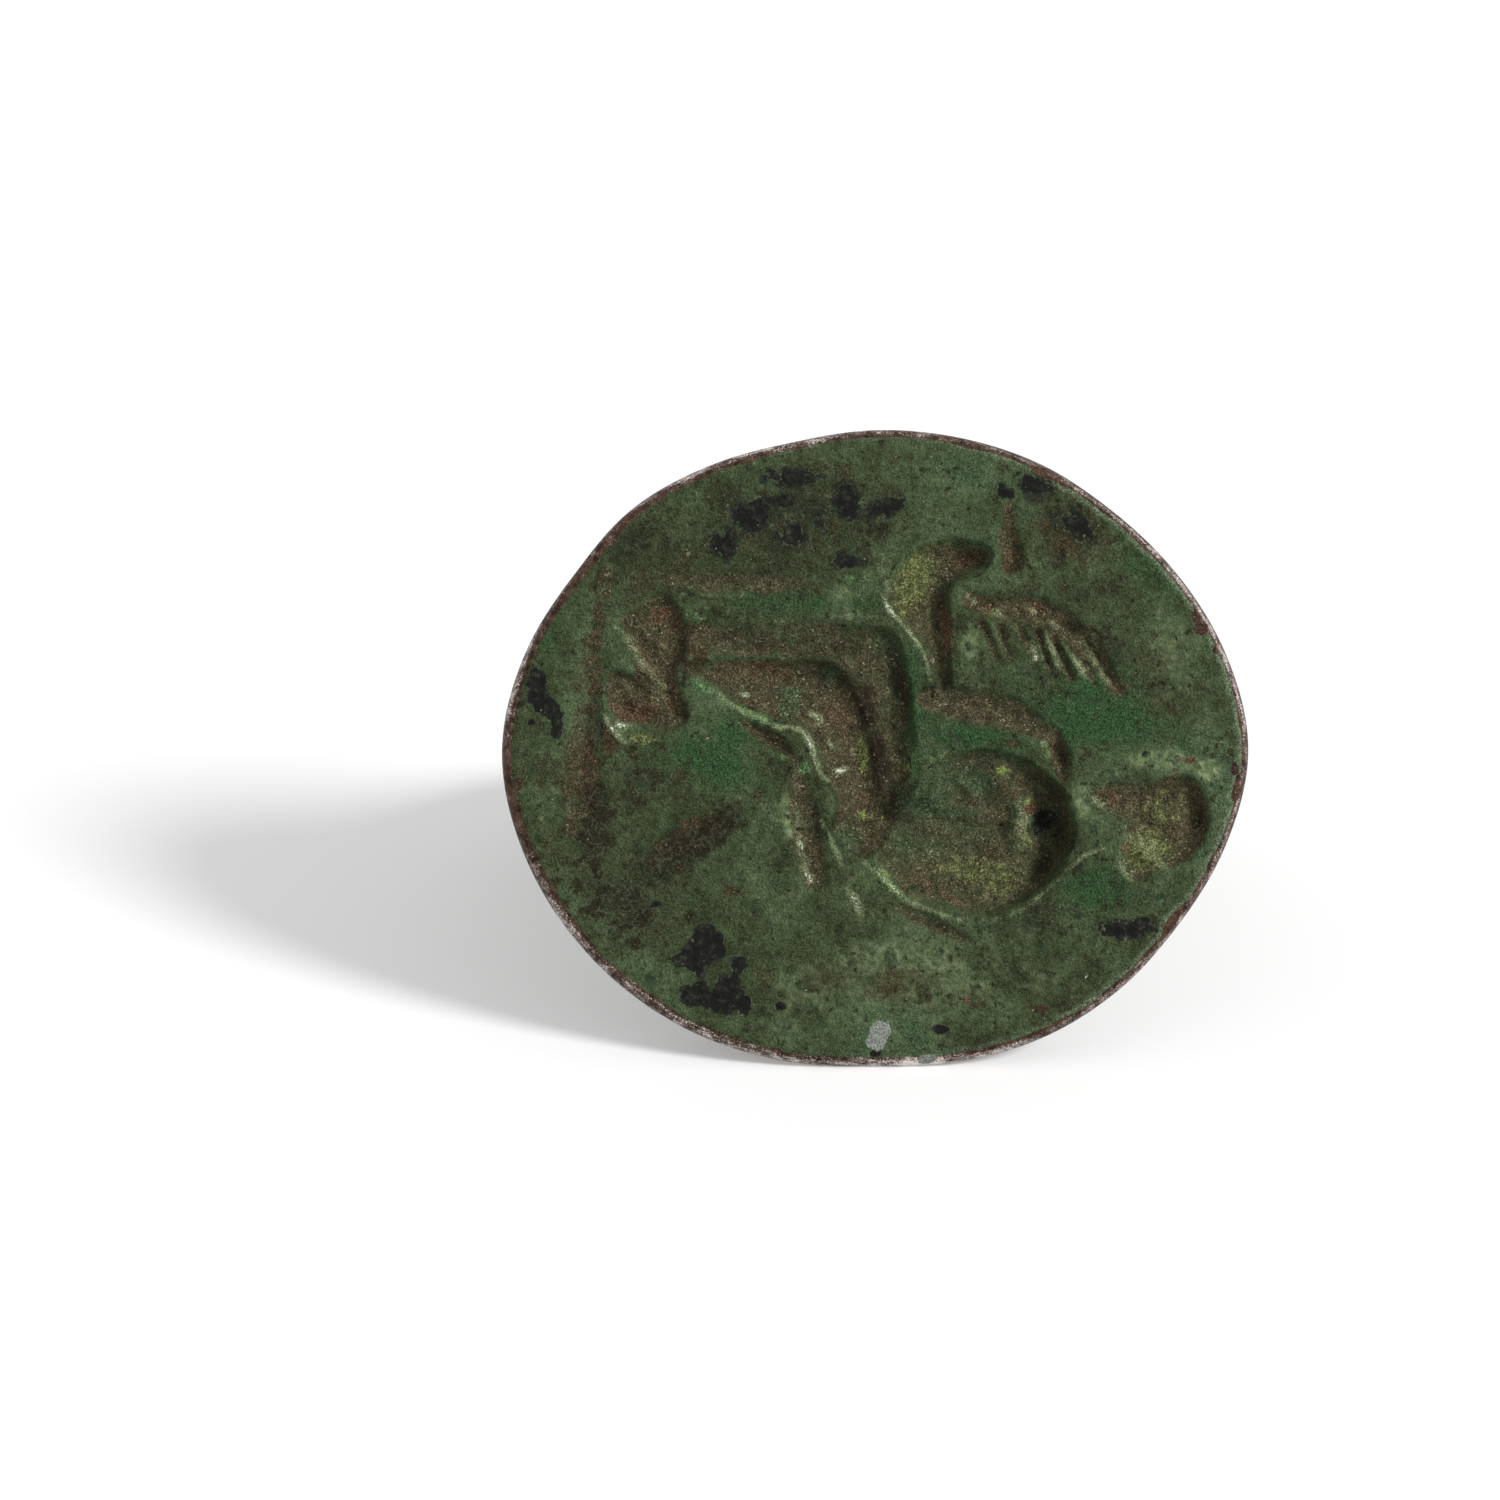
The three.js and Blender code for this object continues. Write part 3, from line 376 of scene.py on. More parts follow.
        (-6.2, -2.5, 0.6, 0.25, 33, 0.7), (7.8, -1.6, 0.8, 0.5, 0, 0.7), (-3.0, 2.5, 1.2, 0.5, -5, 0.6),
        (0.0, -2.8, 0.6, 0.8, 0, 0.5), (-9.5, -0.6, 0.5, 1.6, 0, 0.6), (-9.3, 3.4, 0.3, 1.6, 0, 0.5),
        (5.9, 0.1, 0.2, 0.3, 0, 0.8), (3.3, 1.5, 1.0, 0.2, 0, 0.5), (8.3, -3.2, 0.3, 0.4, 0, 0.6),
        (1.4, -7.6, 0.5, 0.2, 0, 0.5), (3.0, -8.3, 0.3, 0.15, 0, 0.7), (9.9, 1.7, 0.3, 0.15, 0, 0.6),
        (10.4, -0.35, 0.45, 0.18, 0, 0.9), (8.2, 2.1, 0.9, 0.5, -20, 0.55),
        (9.6, 1.5, 0.8, 0.4, -30, 0.5), (-11.0, -3.0, 0.3, 0.6, 10, 0.5),
        (10.0, -0.65, 0.4, 0.15, 0, 0.7),
    ],
    "chalk": [
        (0.1, -9.5, 0.38, 0.62, -25, 1.3), (1.72, -10.3, 0.36, 0.18, 8, 1.4),
    ],
    "oxide": [
        (10.85, 4.0, 0.3, 0.28, 0, 1.0), (10.7, 4.5, 0.2, 0.45, 12, 1.0),
        (11.38, 3.35, 0.22, 0.16, 30, 1.0), (10.3, 5.6, 0.2, 0.3, 0, 0.8),
        (11.95, -0.6, 0.16, 0.3, 0, 1.0), (-11.9, -1.2, 0.16, 0.5, 0, 0.8),
        (5.6, -8.6, 0.3, 0.15, 20, 0.7), (-10.4, 5.0, 0.3, 0.2, 40, 0.7),
    ],
    "pale": [
        (0.5, -7.8, 5.5, 2.2, 0, 0.62), (10.0, 3.2, 1.3, 2.6, 0, 0.5), (5.5, -7.6, 2.5, 1.2, 20, 0.35),
        (3.1, 3.5, 0.6, 1.0, 0, 0.8), (-1.0, 5.0, 0.7, 0.9, 0, 0.6), (6.8, -1.6, 0.6, 0.8, 0, 0.8),
        (-6.6, 7.2, 1.8, 0.9, 35, 0.45), (11.1, -0.65, 0.5, 0.42, 0, 1.8),
        (9.9, -0.45, 0.9, 0.5, 0, 1.1), (8.9, -0.3, 1.0, 0.45, 0, 0.8), (-0.6, -4.3, 0.9, 0.5, 0, 0.5),
        (-2.92, -2.3, 0.28, 1.6, 4, 0.85),
    ],
}


# Outlines of the black patches whose shape is plain to see
BLACK_PATCHES = [
    [(-5.68, -5.8), (-5.45, -5.85), (-5.3, -6.1), (-5.0, -6.4), (-5.0, -6.85), (-5.45, -7.0),
     (-5.7, -7.4), (-5.95, -7.55), (-6.2, -7.35), (-6.75, -7.0), (-6.65, -6.8), (-6.3, -6.5),
     (-6.1, -6.25), (-6.0, -6.0)],
    [(-4.55, -6.9), (-4.25, -7.1), (-4.5, -7.35), (-4.55, -7.65), (-4.5, -8.05), (-4.1, -8.4),
     (-4.3, -8.75), (-4.6, -8.65), (-4.9, -8.85), (-5.3, -8.75), (-5.7, -8.55), (-6.2, -8.5),
     (-6.55, -8.25), (-6.45, -7.9), (-5.95, -7.75), (-5.7, -7.8), (-5.45, -8.0), (-5.2, -7.65),
     (-4.8, -7.35), (-4.85, -7.15)],
    [(5.35, -2.6), (5.4, -2.2), (5.65, -1.98), (5.95, -2.05), (6.1, -2.4), (5.95, -2.75), (5.7, -2.62),
     (5.5, -2.9)],
    [(-11.3, 2.8), (-11.0, 2.45), (-10.95, 1.95), (-10.7, 1.75), (-10.5, 1.3), (-10.5, 0.5),
     (-10.75, 0.4), (-10.85, 0.85), (-11.0, 1.2), (-11.45, 1.3), (-11.5, 1.75), (-11.45, 2.2),
     (-11.5, 2.55)],
]


def turned(x, u, spot):
    """How far points lie from a spot's middle, in shares of its half sizes."""
    middle_x, middle_u, long, wide, turn = spot[:5]
    angle = math.radians(turn)
    along = (x - middle_x) * math.cos(angle) + (u - middle_u) * math.sin(angle)
    across = (u - middle_u) * math.cos(angle) - (x - middle_x) * math.sin(angle)
    return np.hypot(along / long, across / wide)


def smooth_path(points, steps, closed=False):
    """A smooth line through points, each of which may carry more numbers."""
    given = np.array(points, float)
    if closed:
        held = np.vstack([given[-1:], given, given[:2]])
    else:
        held = np.vstack([2 * given[0] - given[1], given, 2 * given[-1] - given[-2]])
    t = (np.arange(steps) / steps)[:, None]
    runs = []
    for a, b, c, d in zip(held[:-3], held[1:-2], held[2:-1], held[3:]):
        runs.append(b + 0.5 * t * (c - a + t * (2 * a - 5 * b + 4 * c - d + t * (3 * (b - c) + d - a))))
    return np.concatenate(runs if closed else runs + [held[-2:-1]])


def outline_radius(angle):
    """The plate's outline: an ellipse whose radius is scaled by the shares."""
    shares = smooth_path(np.array(OUTLINE_SHARES)[:, None], 20, closed=True)[:, 0]
    place = np.mod(angle / (2 * np.pi), 1) * len(shares)
    share = np.interp(place, np.arange(len(shares) + 1), np.append(shares, shares[0]))
    a, b = PLATE_LENGTH / 2 - WEAR, PLATE_HEIGHT / 2 - WEAR
    return share * a * b / np.hypot(b * np.cos(angle), a * np.sin(angle))


def soft_noise(x, y, size, seed):
    """Smooth random heights from -1 to 1, with lumps of about that size."""
    cells = 256
    table = np.random.default_rng(seed).uniform(-1, 1, (cells, cells))
    column, row = np.floor(x / size).astype(int), np.floor(y / size).astype(int)
    tx, ty = x / size - column, y / size - row
    tx, ty = tx * tx * (3 - 2 * tx), ty * ty * (3 - 2 * ty)
    c0, c1, r0, r1 = column % cells, (column + 1) % cells, row % cells, (row + 1) % cells
    near = table[c0, r0] * (1 - tx) + table[c1, r0] * tx
    far = table[c0, r1] * (1 - tx) + table[c1, r1] * tx
    return near * (1 - ty) + far * ty


def rough_noise(x, y, size, seed, octaves=4):
    """Soft noise with ever finer and lower lumps on it, about -1 to 1."""
    total = sum(soft_noise(x, y, size / 2 ** k, seed + k) / 2 ** k for k in range(octaves))
    return total / (2 - 2 ** (1 - octaves))


def smoothstep(low, high, value):
    """From 0 to 1 as the value passes from low to high; low may be the larger."""
    t = np.clip((value - low) / (high - low), 0, 1)
    return t * t * (3 - 2 * t)


def near_segment(x, u, start, end):
    """Where points lie along a segment, from 0 to 1, and how far they are from it."""
    (x0, u0), (x1, u1) = start, end
    run = (x1 - x0) ** 2 + (u1 - u0) ** 2
    along = np.clip(((x - x0) * (x1 - x0) + (u - u0) * (u1 - u0)) / run, 0, 1)
    return along, np.hypot(x - x0 - along * (x1 - x0), u - u0 - along * (u1 - u0))


STROKE_POWER = 1.4  # shape of a stroke's sides; more makes them hollow and the stroke narrower


def stroke(points, x, u):
    """How far into a stroke points lie: 0 at its sides, 1 along its middle. The stroke's points
    carry a last number, such as its depth, and the product of the two comes back too."""
    path = smooth_path(points, 6)
    reach = path[:, 2].max()
    low, high = path.min(axis=0) - reach, path.max(axis=0) + reach
    near = (x > low[0]) & (x < high[0]) & (u > low[1]) & (u < high[1])
    px, pu = x[near], u[near]
    share, carried = np.zeros_like(x), np.zeros_like(x)
    best, value = np.zeros_like(px), np.zeros_like(px)
    for (x0, u0, width0, value0), (x1, u1, width1, value1) in zip(path[:-1], path[1:]):
        along, away = near_segment(px, pu, (x0, u0), (x1, u1))
        aside = away / (width0 + along * (width1 - width0))
        here = np.clip(1 - aside ** 2, 0, 1) ** STROKE_POWER
        value = np.where(here > best, value0 + along * (value1 - value0), value)
        best = np.maximum(best, here)
    share[near], carried[near] = best, value
    return share, share * carried


def distance_inside(outline, x, u):
    """How far points lie inside a closed outline; below zero outside it."""
    path = smooth_path(outline, 5, closed=True)
    inside = np.zeros(x.shape, bool)
    nearest = np.full(x.shape, np.inf)
    for (x0, u0), (x1, u1) in zip(path, np.roll(path, -1, axis=0)):
        nearest = np.minimum(nearest, near_segment(x, u, (x0, u0), (x1, u1))[1])
        if u0 != u1:
            inside ^= ((u0 > u) != (u1 > u)) & (x < (x1 - x0) * (u - u0) / (u1 - u0) + x0)
    return np.where(inside, nearest, -nearest)


# How steeply the brown of a cut's floor runs up its sides
BROWN_IN_HOLLOW = 1.4
BROWN_IN_GROOVE = 1.45
BROWN_FROM = 0.08  # depth from which a floor is wholly brown


def hollow(cut, x, u):
    """How far down its wall points of a hollow lie, and their depth."""
    outline, deep, wall, steeper, deeper = cut
    points = np.array(outline)
    low, high = points.min(axis=0), points.max(axis=0)
    near = (x > low[0] - wall) & (x < high[0] + wall) & (u > low[1] - wall) & (u < high[1] + wall)
    to_right = x[near] - points[:, 0].mean()
    from_edge = distance_inside(outline, x[near], u[near])
    inside = np.clip(from_edge / (wall - steeper * to_right), 0, 1)
    share, depth = np.zeros_like(x), np.zeros_like(x)
    lip = np.clip(from_edge / LIP_WIDTH, 0, 1)
    share[near] = LIP_SHARE * (1 - (1 - lip) ** 2) + (1 - LIP_SHARE) * (1 - (1 - inside) ** 2)
    depth[near] = (deep + deeper * to_right) * share[near]
    return np.clip(BROWN_IN_HOLLOW * share, 0, 1), depth


def blended(a, b, softness=0.03):
    """The larger of two depths, with the crease between them rounded."""
    share = np.clip(0.5 + (a - b) / (2 * softness), 0, 1)
    return b + (a - b) * share + softness * share * (1 - share)


TIP_WIDTH_SHARE = 0.7  # of a feather's width and depth at its root
TIP_DEPTH_SHARE = 0.6
UNEVEN = 0.2  # how unevenly deep the cuts are, as a share of their depth
UNEVEN_SIZE = 0.8
CARVED_BELOW = 0.15  # depth from which the carving in a floor is whole
RAISED_BELOW = 0.25  # depth from which what stands up from a floor is whole
MOUND_POWER = 1.5  # shape of its flanks


def engraving(x, u):
    """Depth of the engraving, and how brown its floor is."""
    depth, floor = np.zeros_like(x), np.zeros_like(x)
    cuts = {name: hollow(cut, x, u) for name, cut in HOLLOWS.items()}
    cuts.update({name: stroke(points, x, u) for name, points in GROOVES.items()})
    for k, (x0, u0, x1, u1, width, deep) in enumerate(FEATHERS):
        tip = (x1, u1, TIP_WIDTH_SHARE * width, TIP_DEPTH_SHARE * deep)
        cuts[f"feather {k}"] = stroke([(x0, u0, width, deep), tip], x, u)
    for name, (share, cut) in cuts.items():
        depth = blended(depth, cut)
        browned = np.clip(share if name in HOLLOWS else BROWN_IN_GROOVE * share, 0, 1)
        floor = np.maximum(floor, BROWNED.get(name, 1) * browned * smoothstep(0, BROWN_FROM, cut))
    depth -= depth.min()
    depth *= 1 + UNEVEN * rough_noise(x, u, UNEVEN_SIZE, seed=71, octaves=3)
    for points in CARVED.values():
        depth += stroke(points, x, u)[1] * np.clip(depth / CARVED_BELOW, 0, 1)
    for mound in MOUNDS.values():
        height = mound[5] * np.clip(1 - turned(x, u, mound) ** 2, 0, 1) ** MOUND_POWER
        depth -= height * np.clip(depth / RAISED_BELOW, 0, 1)
    return DEEPER * np.maximum(depth, 0), floor


def blurred(field, cells):
    """A field softened by a round blur of that many cells."""
    reach = int(3 * cells)
    weights = np.exp(-0.5 * (np.arange(-reach, reach + 1) / cells) ** 2)
    weights /= weights.sum()
    for axis in (0, 1):
        padded = np.pad(field, [(reach, reach) if a == axis else (0, 0) for a in (0, 1)], mode="edge")
        field = sum(w * np.take(padded, range(k, k + field.shape[axis]), axis=axis)
                    for k, w in enumerate(weights))
    return field


# Maps of the face, on a grid of square cells
CELL = 0.05
MAP_MARGIN = 0.2
MAP_X = np.arange(-PLATE_LENGTH / 2 - MAP_MARGIN, PLATE_LENGTH / 2 + MAP_MARGIN, CELL)
MAP_U = np.arange(-PLATE_HEIGHT / 2 - MAP_MARGIN, PLATE_HEIGHT / 2 + MAP_MARGIN, CELL)
WANDER = 0.12  # how far the engraver's hand and the crust move every line
WANDER_SIZE = 0.9
EDGE_BLUR = 4  # cells over which the relief of an edge is judged
EDGE_RELIEF = 0.06  # relief at which an edge counts as a whole lip or crevice
EDGE_MOST = 1.5
STAIN_REACH = 1.25  # where a stain ends, in shares of its half sizes
PATCH_LEVEL = 0.48  # of blackness, on a patch's outline
PATCH_SLOPE = 0.6  # distance over which it rises by one


def face_maps():
    """Depth, wear, stains, and painted highlights and shade of the face, by name."""
    x, u = np.meshgrid(MAP_X, MAP_U)
    wander_x = WANDER * rough_noise(x, u, WANDER_SIZE, seed=11)
    wander_u = WANDER * rough_noise(x, u, WANDER_SIZE, seed=21)
    engraved, floor = engraving(x + wander_x, u + wander_u)
    engraved = blurred(engraved, 1.0)
    relief = (blurred(engraved, EDGE_BLUR) - engraved) / EDGE_RELIEF
    maps = {
        "depth": engraved,
        "floor": floor,
        # Bright grains on the edges: partly wear, partly painted highlight
        "worn": np.maximum.reduce([stroke(points, x, u)[1] for points in WORN_AND_HIGHLIT_EDGES.values()]),
        # Lighter on the convex edges: partly wear, partly painted highlight
        "lip": np.clip(relief, 0, EDGE_MOST),
        # Painted shade: darker colour in the concave creases
        "crevice_shade": np.clip(-relief, 0, EDGE_MOST),
    }
    for name, spots in STAINS.items():
        maps[name] = np.zeros_like(x)
        for spot in spots:
            maps[name] = np.maximum(maps[name], spot[5] * np.clip(STAIN_REACH - turned(x, u, spot), 0, 1))
    for outline in BLACK_PATCHES:
        patch = PATCH_LEVEL + distance_inside(outline, x, u) / PATCH_SLOPE
        maps["black"] = np.maximum(maps["black"], np.clip(patch, 0, 1))
    return maps


def sampled(field, x, u):
    """A map's values at points of the face."""
    column = np.clip((x - MAP_X[0]) / CELL, 0, len(MAP_X) - 1.001)
    row = np.clip((u - MAP_U[0]) / CELL, 0, len(MAP_U) - 1.001)
    c, r = column.astype(int), row.astype(int)
    tc, tr = column - c, row - r
    low = field[r, c] * (1 - tc) + field[r, c + 1] * tc
    high = field[r + 1, c] * (1 - tc) + field[r + 1, c + 1] * tc
    return low * (1 - tr) + high * tr


def to_row(points):
    """Points of the ring's own axes (right, into the face, up), in millimetres, in the row frame."""
    return FACE_MIDDLE + MM * (points[:, :1] * RIGHT + points[:, 1:2] * INTO + points[:, 2:] * UP)


def placed(name, mesh, node):
    """A mesh as a piece that rides on the ring and stands for a node."""
    mesh.shade_smooth()
    mesh.update()
    piece = bpy.data.objects.new(name, mesh)
    bpy.context.scene.collection.objects.link(piece)
    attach(piece, "root")
    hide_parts(node)


def make_piece(name, points, groups, material, node, fields=None):
    """A closed piece with its faces outwards, from groups of faces with equal numbers of corners.
    Fields are numbers that its points carry."""
    volume = sum(np.einsum("ij,ij->", points[group[:, 0]],
                           np.cross(points[group[:, k]], points[group[:, k + 1]]))
                 for group in groups for k in range(1, group.shape[1] - 1))
    faces = [face for group in groups for face in (group if volume > 0 else group[:, ::-1]).tolist()]
    mesh = bpy.data.meshes.new(name)
    mesh.from_pydata(to_row(points).tolist(), [], faces)
    mesh.materials.append(material)
    for label, values in (fields or {}).items():
        attribute = mesh.attributes.new(label, "FLOAT", "POINT")
        attribute.data.foreach_set("value", np.asarray(values, np.float32))
    placed(name, mesh, node)


# Seal plate
FACE_CELLS = 260  # cells across the face's grid
RIM_STEPS = 12
RIM_BAND = 0.66  # how far in from the outline the fine rings begin
SIDE_STEPS = 5
EDGE_STEPS = 4
BACK_STEP = 0.19  # how much nearer the middle each ring of the back is
EDGE_CRUST = 0.5  # share of crust on the edge of the back
BACK_CRUST = 0.6


def disc_grid(cells):
    """A square grid bent into a disc: radius share and angle of each point, its quads and its rim."""
    s, t = np.meshgrid(np.linspace(-1, 1, cells + 1), np.linspace(-1, 1, cells + 1))
    wide = np.abs(s) > np.abs(t)
    with np.errstate(divide="ignore", invalid="ignore"):
        radius = np.where(wide, s, t)
        angle = np.where(wide, np.pi / 4 * t / s, np.pi / 2 - np.pi / 4 * s / t)
    angle = np.where(radius == 0, 0, angle)
    angle = np.where(radius < 0, angle + np.pi, angle)
    index = np.arange((cells + 1) ** 2).reshape(cells + 1, cells + 1)
    quads = np.stack([index[:-1, :-1], index[:-1, 1:], index[1:, 1:], index[1:, :-1]], -1).reshape(-1, 4)
    rim = np.concatenate([index[0, :-1], index[:-1, -1], index[-1, :0:-1], index[:0:-1, 0]])
    return np.abs(radius).ravel(), angle.ravel(), quads, rim


RIM_WIDTH = 0.3  # of bare metal, where nothing else changes it
RAGS_ROUND = 78  # lumps of the crust's edge round the plate
RAG_DEPTH = 0.07
CHIPS_ROUND = 60  # places round the plate where a chip may be bitten out
CHIP_DEPTH = 0.14


def crust_reach(angle):
    """How far in from the outline the green crust ends: a ragged line, with chips bitten out of it."""
    turn = angle / (2 * np.pi)
    wide = RIM_WIDTH - 0.05 * np.cos(angle) - 0.03 * np.sin(angle)
    ragged = rough_noise(turn * RAGS_ROUND, 0 * turn + 3.3, 1.0, seed=31, octaves=5)
    chips = smoothstep(0.45, 0.75, soft_noise(turn * CHIPS_ROUND, 0 * turn + 7.7, 1.0, seed=41))
    return wide + RAG_DEPTH * ragged + CHIP_DEPTH * chips


STREAKS = 0.45  # how strongly the bare metal is streaked
STREAKS_ROUND = 26  # streaks for each radian
STREAK_WIDTH = 0.06
BARENESS = 0.36  # of the rim's metal, where no place in the next table changes it
# Places round the rim in degrees, their half widths, and how much barer they are
RUBBED = [(20, 18, 0.3), (40, 12, 0.1), (112, 20, 0.25), (145, 14, -0.1), (170, 8, 0.35), (187, 12, -0.3),
          (205, 10, 0.1), (225, 16, 0.15), (256, 20, 0.22), (279, 4, 0.4), (287, 16, 0.3), (335, 24, 0.1)]


def rubbed_metal_and_highlight(around, from_rim, into):
    """How bright the rim is: rubbed metal in streaks, and a painted highlight along a line just inside the
    outline.
    """
    bareness = BARENESS + 0 * around
    for middle, half, strength in RUBBED:
        off = np.abs(np.mod(np.degrees(around) - middle + 180, 360) - 180)
        bareness += strength * smoothstep(1.4, 0.5, off / half)
    # The line lies further in and is narrower at the upper right, and is wider at the lower left.
    upper_right = smoothstep(0.4, 0.8, np.cos(around - 0.5))
    lower_left = smoothstep(0.4, 0.9, np.cos(around + 2.2))
    off_line = np.abs(from_rim - 0.03 - 0.1 * upper_right) / (0.3 - 0.15 * upper_right + 0.2 * lower_left)
    streaks = STREAKS * rough_noise(around * STREAKS_ROUND, from_rim / STREAK_WIDTH, 1.0, seed=91, octaves=3)
    on_round = smoothstep(2.2 * ARRIS, ARRIS, into)
    return on_round * (bareness * smoothstep(1.1, 0.1, off_line) + streaks)


BLACK_FROM, BLACK_WHOLE = 0.42, 0.6  # blackness at which a black hollow begins and is whole
BLACK_RAGGED = 0.35
BLACK_RAG_SIZE = 0.5
LUMP_HEIGHT = 0.018
LUMP_SIZE = 1.6
GRAIN_HEIGHT = 0.012
GRAIN_SIZE = 0.35
LUMP_LEVEL = 0.022  # keeps the crust's lumps below the face's highest plane
BLACK_HOLLOW = 0.02  # how far the black patches lie below the green crust


def surface_height(x, u, from_rim, angle, maps):
    """Depth of the plate's front below its highest plane, and how much crust covers it."""
    onto_round = np.clip(ARRIS - from_rim, 0, ARRIS)
    drop = ARRIS - np.sqrt(ARRIS ** 2 - onto_round ** 2)
    crust = smoothstep(-0.02, 0.05, from_rim - crust_reach(angle))
    depth = sampled(maps["depth"], x, u)
    ragged = BLACK_RAGGED * rough_noise(x, u, BLACK_RAG_SIZE, seed=61)
    black = smoothstep(BLACK_FROM, BLACK_WHOLE, sampled(maps["black"], x, u) + ragged)
    lumps = LUMP_LEVEL + LUMP_HEIGHT * rough_noise(x, u, LUMP_SIZE, seed=51, octaves=3)
    lumps += GRAIN_HEIGHT * rough_noise(x, u, GRAIN_SIZE, seed=52, octaves=3)
    return drop + CRUST * (1 - crust) + depth + crust * (lumps + BLACK_HOLLOW * black), crust


def make_plate(material):
    """The face as a bent grid, with rings of points from its rim to the middle of the back."""
    maps = face_maps()
    radius, angle, quads, rim = disc_grid(FACE_CELLS)
    inner = outline_radius(angle) - RIM_BAND
    x, u = radius * inner * np.cos(angle), radius * inner * np.sin(angle)
    height, crust = surface_height(x, u, outline_radius(angle) - radius * inner, angle, maps)
    points, crusts, faces = [np.stack([x, height, u], 1)], [crust], [quads]
    ring, rim_angle = rim, angle[rim]
    total, count = len(x), len(rim)

    def add_points(radii, into, crust):
        """A ring of points at the rim's angles, and their numbers."""
        nonlocal total
        points.append(np.stack([radii * np.cos(rim_angle), into + 0 * radii, radii * np.sin(rim_angle)], 1))
        crusts.append(crust + 0 * radii)
        total += len(radii)
        return np.arange(total - len(radii), total)

    # Out over the round edge, down the side and round the edge of the back
    steps = []
    for k in range(1, RIM_STEPS + 1):
        inset = RIM_BAND * (1 - k / RIM_STEPS) ** 2
        r = outline_radius(rim_angle) - inset
        x, u = r * np.cos(rim_angle), r * np.sin(rim_angle)
        steps.append((inset, *surface_height(x, u, inset, rim_angle, maps)))
    side = PLATE_THICKNESS - ARRIS - BACK_EDGE - CRUST
    for k in range(1, SIDE_STEPS + 1):
        steps.append((BACK_INSET * k / SIDE_STEPS, ARRIS + CRUST + side * k / SIDE_STEPS, 0))
    for k in range(1, EDGE_STEPS + 1):
        turn = math.pi / 2 * k / EDGE_STEPS
        steps.append((BACK_INSET + BACK_EDGE * (1 - math.cos(turn)),
                      PLATE_THICKNESS - BACK_EDGE * (1 - math.sin(turn)), EDGE_CRUST))
    for inset, into, crust in steps:
        new = add_points(outline_radius(rim_angle) - inset, into, crust)
        faces.append(np.stack([ring, new, np.roll(new, -1), np.roll(ring, -1)], 1))
        ring = new

    # The flat back: rings of ever fewer points, down to one in the middle
    share = 1.0
    while count % 2 == 0:
        share -= BACK_STEP
        count //= 2
        rim_angle = rim_angle[::2]
        r = (outline_radius(rim_angle) - BACK_INSET - BACK_EDGE) * share
        new = add_points(r, PLATE_THICKNESS, BACK_CRUST)
        faces.append(np.stack([ring[::2], new, ring[1::2]], 1))
        faces.append(np.stack([ring[1::2], new, np.roll(new, -1)], 1))
        faces.append(np.stack([ring[1::2], np.roll(new, -1), np.roll(ring, -1)[1::2]], 1))
        ring = new
    points.append(np.array([[0, PLATE_THICKNESS, 0]]))
    crusts.append(np.array([BACK_CRUST]))
    faces.append(np.stack([ring, np.full(count, total), np.roll(ring, -1)], 1))

    points = np.concatenate(points)
    x, into, u = points.T
    around = np.arctan2(u, x)
    from_rim = outline_radius(around) - np.hypot(x, u)
    on_front = (into < ARRIS + CRUST + 2 * max(cut[1] for cut in HOLLOWS.values())) & (from_rim > 0.01)
    fields = {name: sampled(field, x, u) * on_front for name, field in maps.items()}
    fields["crust"] = np.concatenate(crusts)
    # Rubbed metal of the rim, with a painted highlight along its round edge
    fields["bare"] = rubbed_metal_and_highlight(around, from_rim, into)
    fields["fringe"] = (0.6 + 0.4 * np.cos(around)) * smoothstep(0.4, 0.05, from_rim - crust_reach(around))
    make_piece("engraved_plate", points, faces, material, "seal_plate", fields)


# Nodes
def colour(code):
    """An sRGB hex value as linear red, green, blue and alpha."""
    channels = [int(code[k:k + 2], 16) / 255 for k in (1, 3, 5)]
    return [c / 12.92 if c <= 0.04045 else ((c + 0.055) / 1.055) ** 2.4 for c in channels] + [1]


def add(tree, kind, inputs=(), stops=(), **settings):
    """Adds a node with its settings. Its inputs go by name, or in order as a list. Each takes a
    value, an output, or a node's first live output. Stops are the colours of a ramp."""
    node = tree.nodes.new(kind)
    for key, value in settings.items():
        setattr(node, key, value)
    live = [socket for socket in node.inputs if socket.enabled]
    if isinstance(inputs, dict):
        pairs = [(next(s for s in live if name in (s.name, s.identifier)), value)
                 for name, value in inputs.items()]
    else:
        pairs = zip(live, inputs)
    for socket, value in pairs:
        if isinstance(value, bpy.types.Node):
            value = next(s for s in value.outputs if s.enabled)
        if isinstance(value, bpy.types.NodeSocket):
            tree.links.new(value, socket)
        else:
            socket.default_value = value
    if stops:
        ramp = node.color_ramp.elements
        while len(ramp) < len(stops):
            ramp.new(1)
        for element, (place, code) in zip(ramp, stops):
            element.position, element.color = place, colour(code)
    return node


# Hoop and its solder
BOW_RADIUS = FINGER_DIAMETER / 2
BOW_MIDDLE = PLATE_THICKNESS - HOLE_FLAT + BOW_RADIUS
SEAT = PLATE_THICKNESS + SOLDER_PAD + 2 * SOLDER_GAP
SOLDER_REACH = SOLDER_GAP + FILLET_LIP + FILLET_WIDTH
FOOT_INSIDE = PLATE_LENGTH / 2 - BACK_INSET - BACK_EDGE - FOOT_INSET - SOLDER_REACH - HOOP_FOOT[1]
LEG_LENGTH = math.sqrt(FOOT_INSIDE ** 2 + (BOW_MIDDLE - SEAT) ** 2 - BOW_RADIUS ** 2)
LEG_START = math.atan2(FOOT_INSIDE, SEAT - BOW_MIDDLE) - math.atan2(LEG_LENGTH, BOW_RADIUS)
BOW_LENGTH = BOW_RADIUS * LEG_START
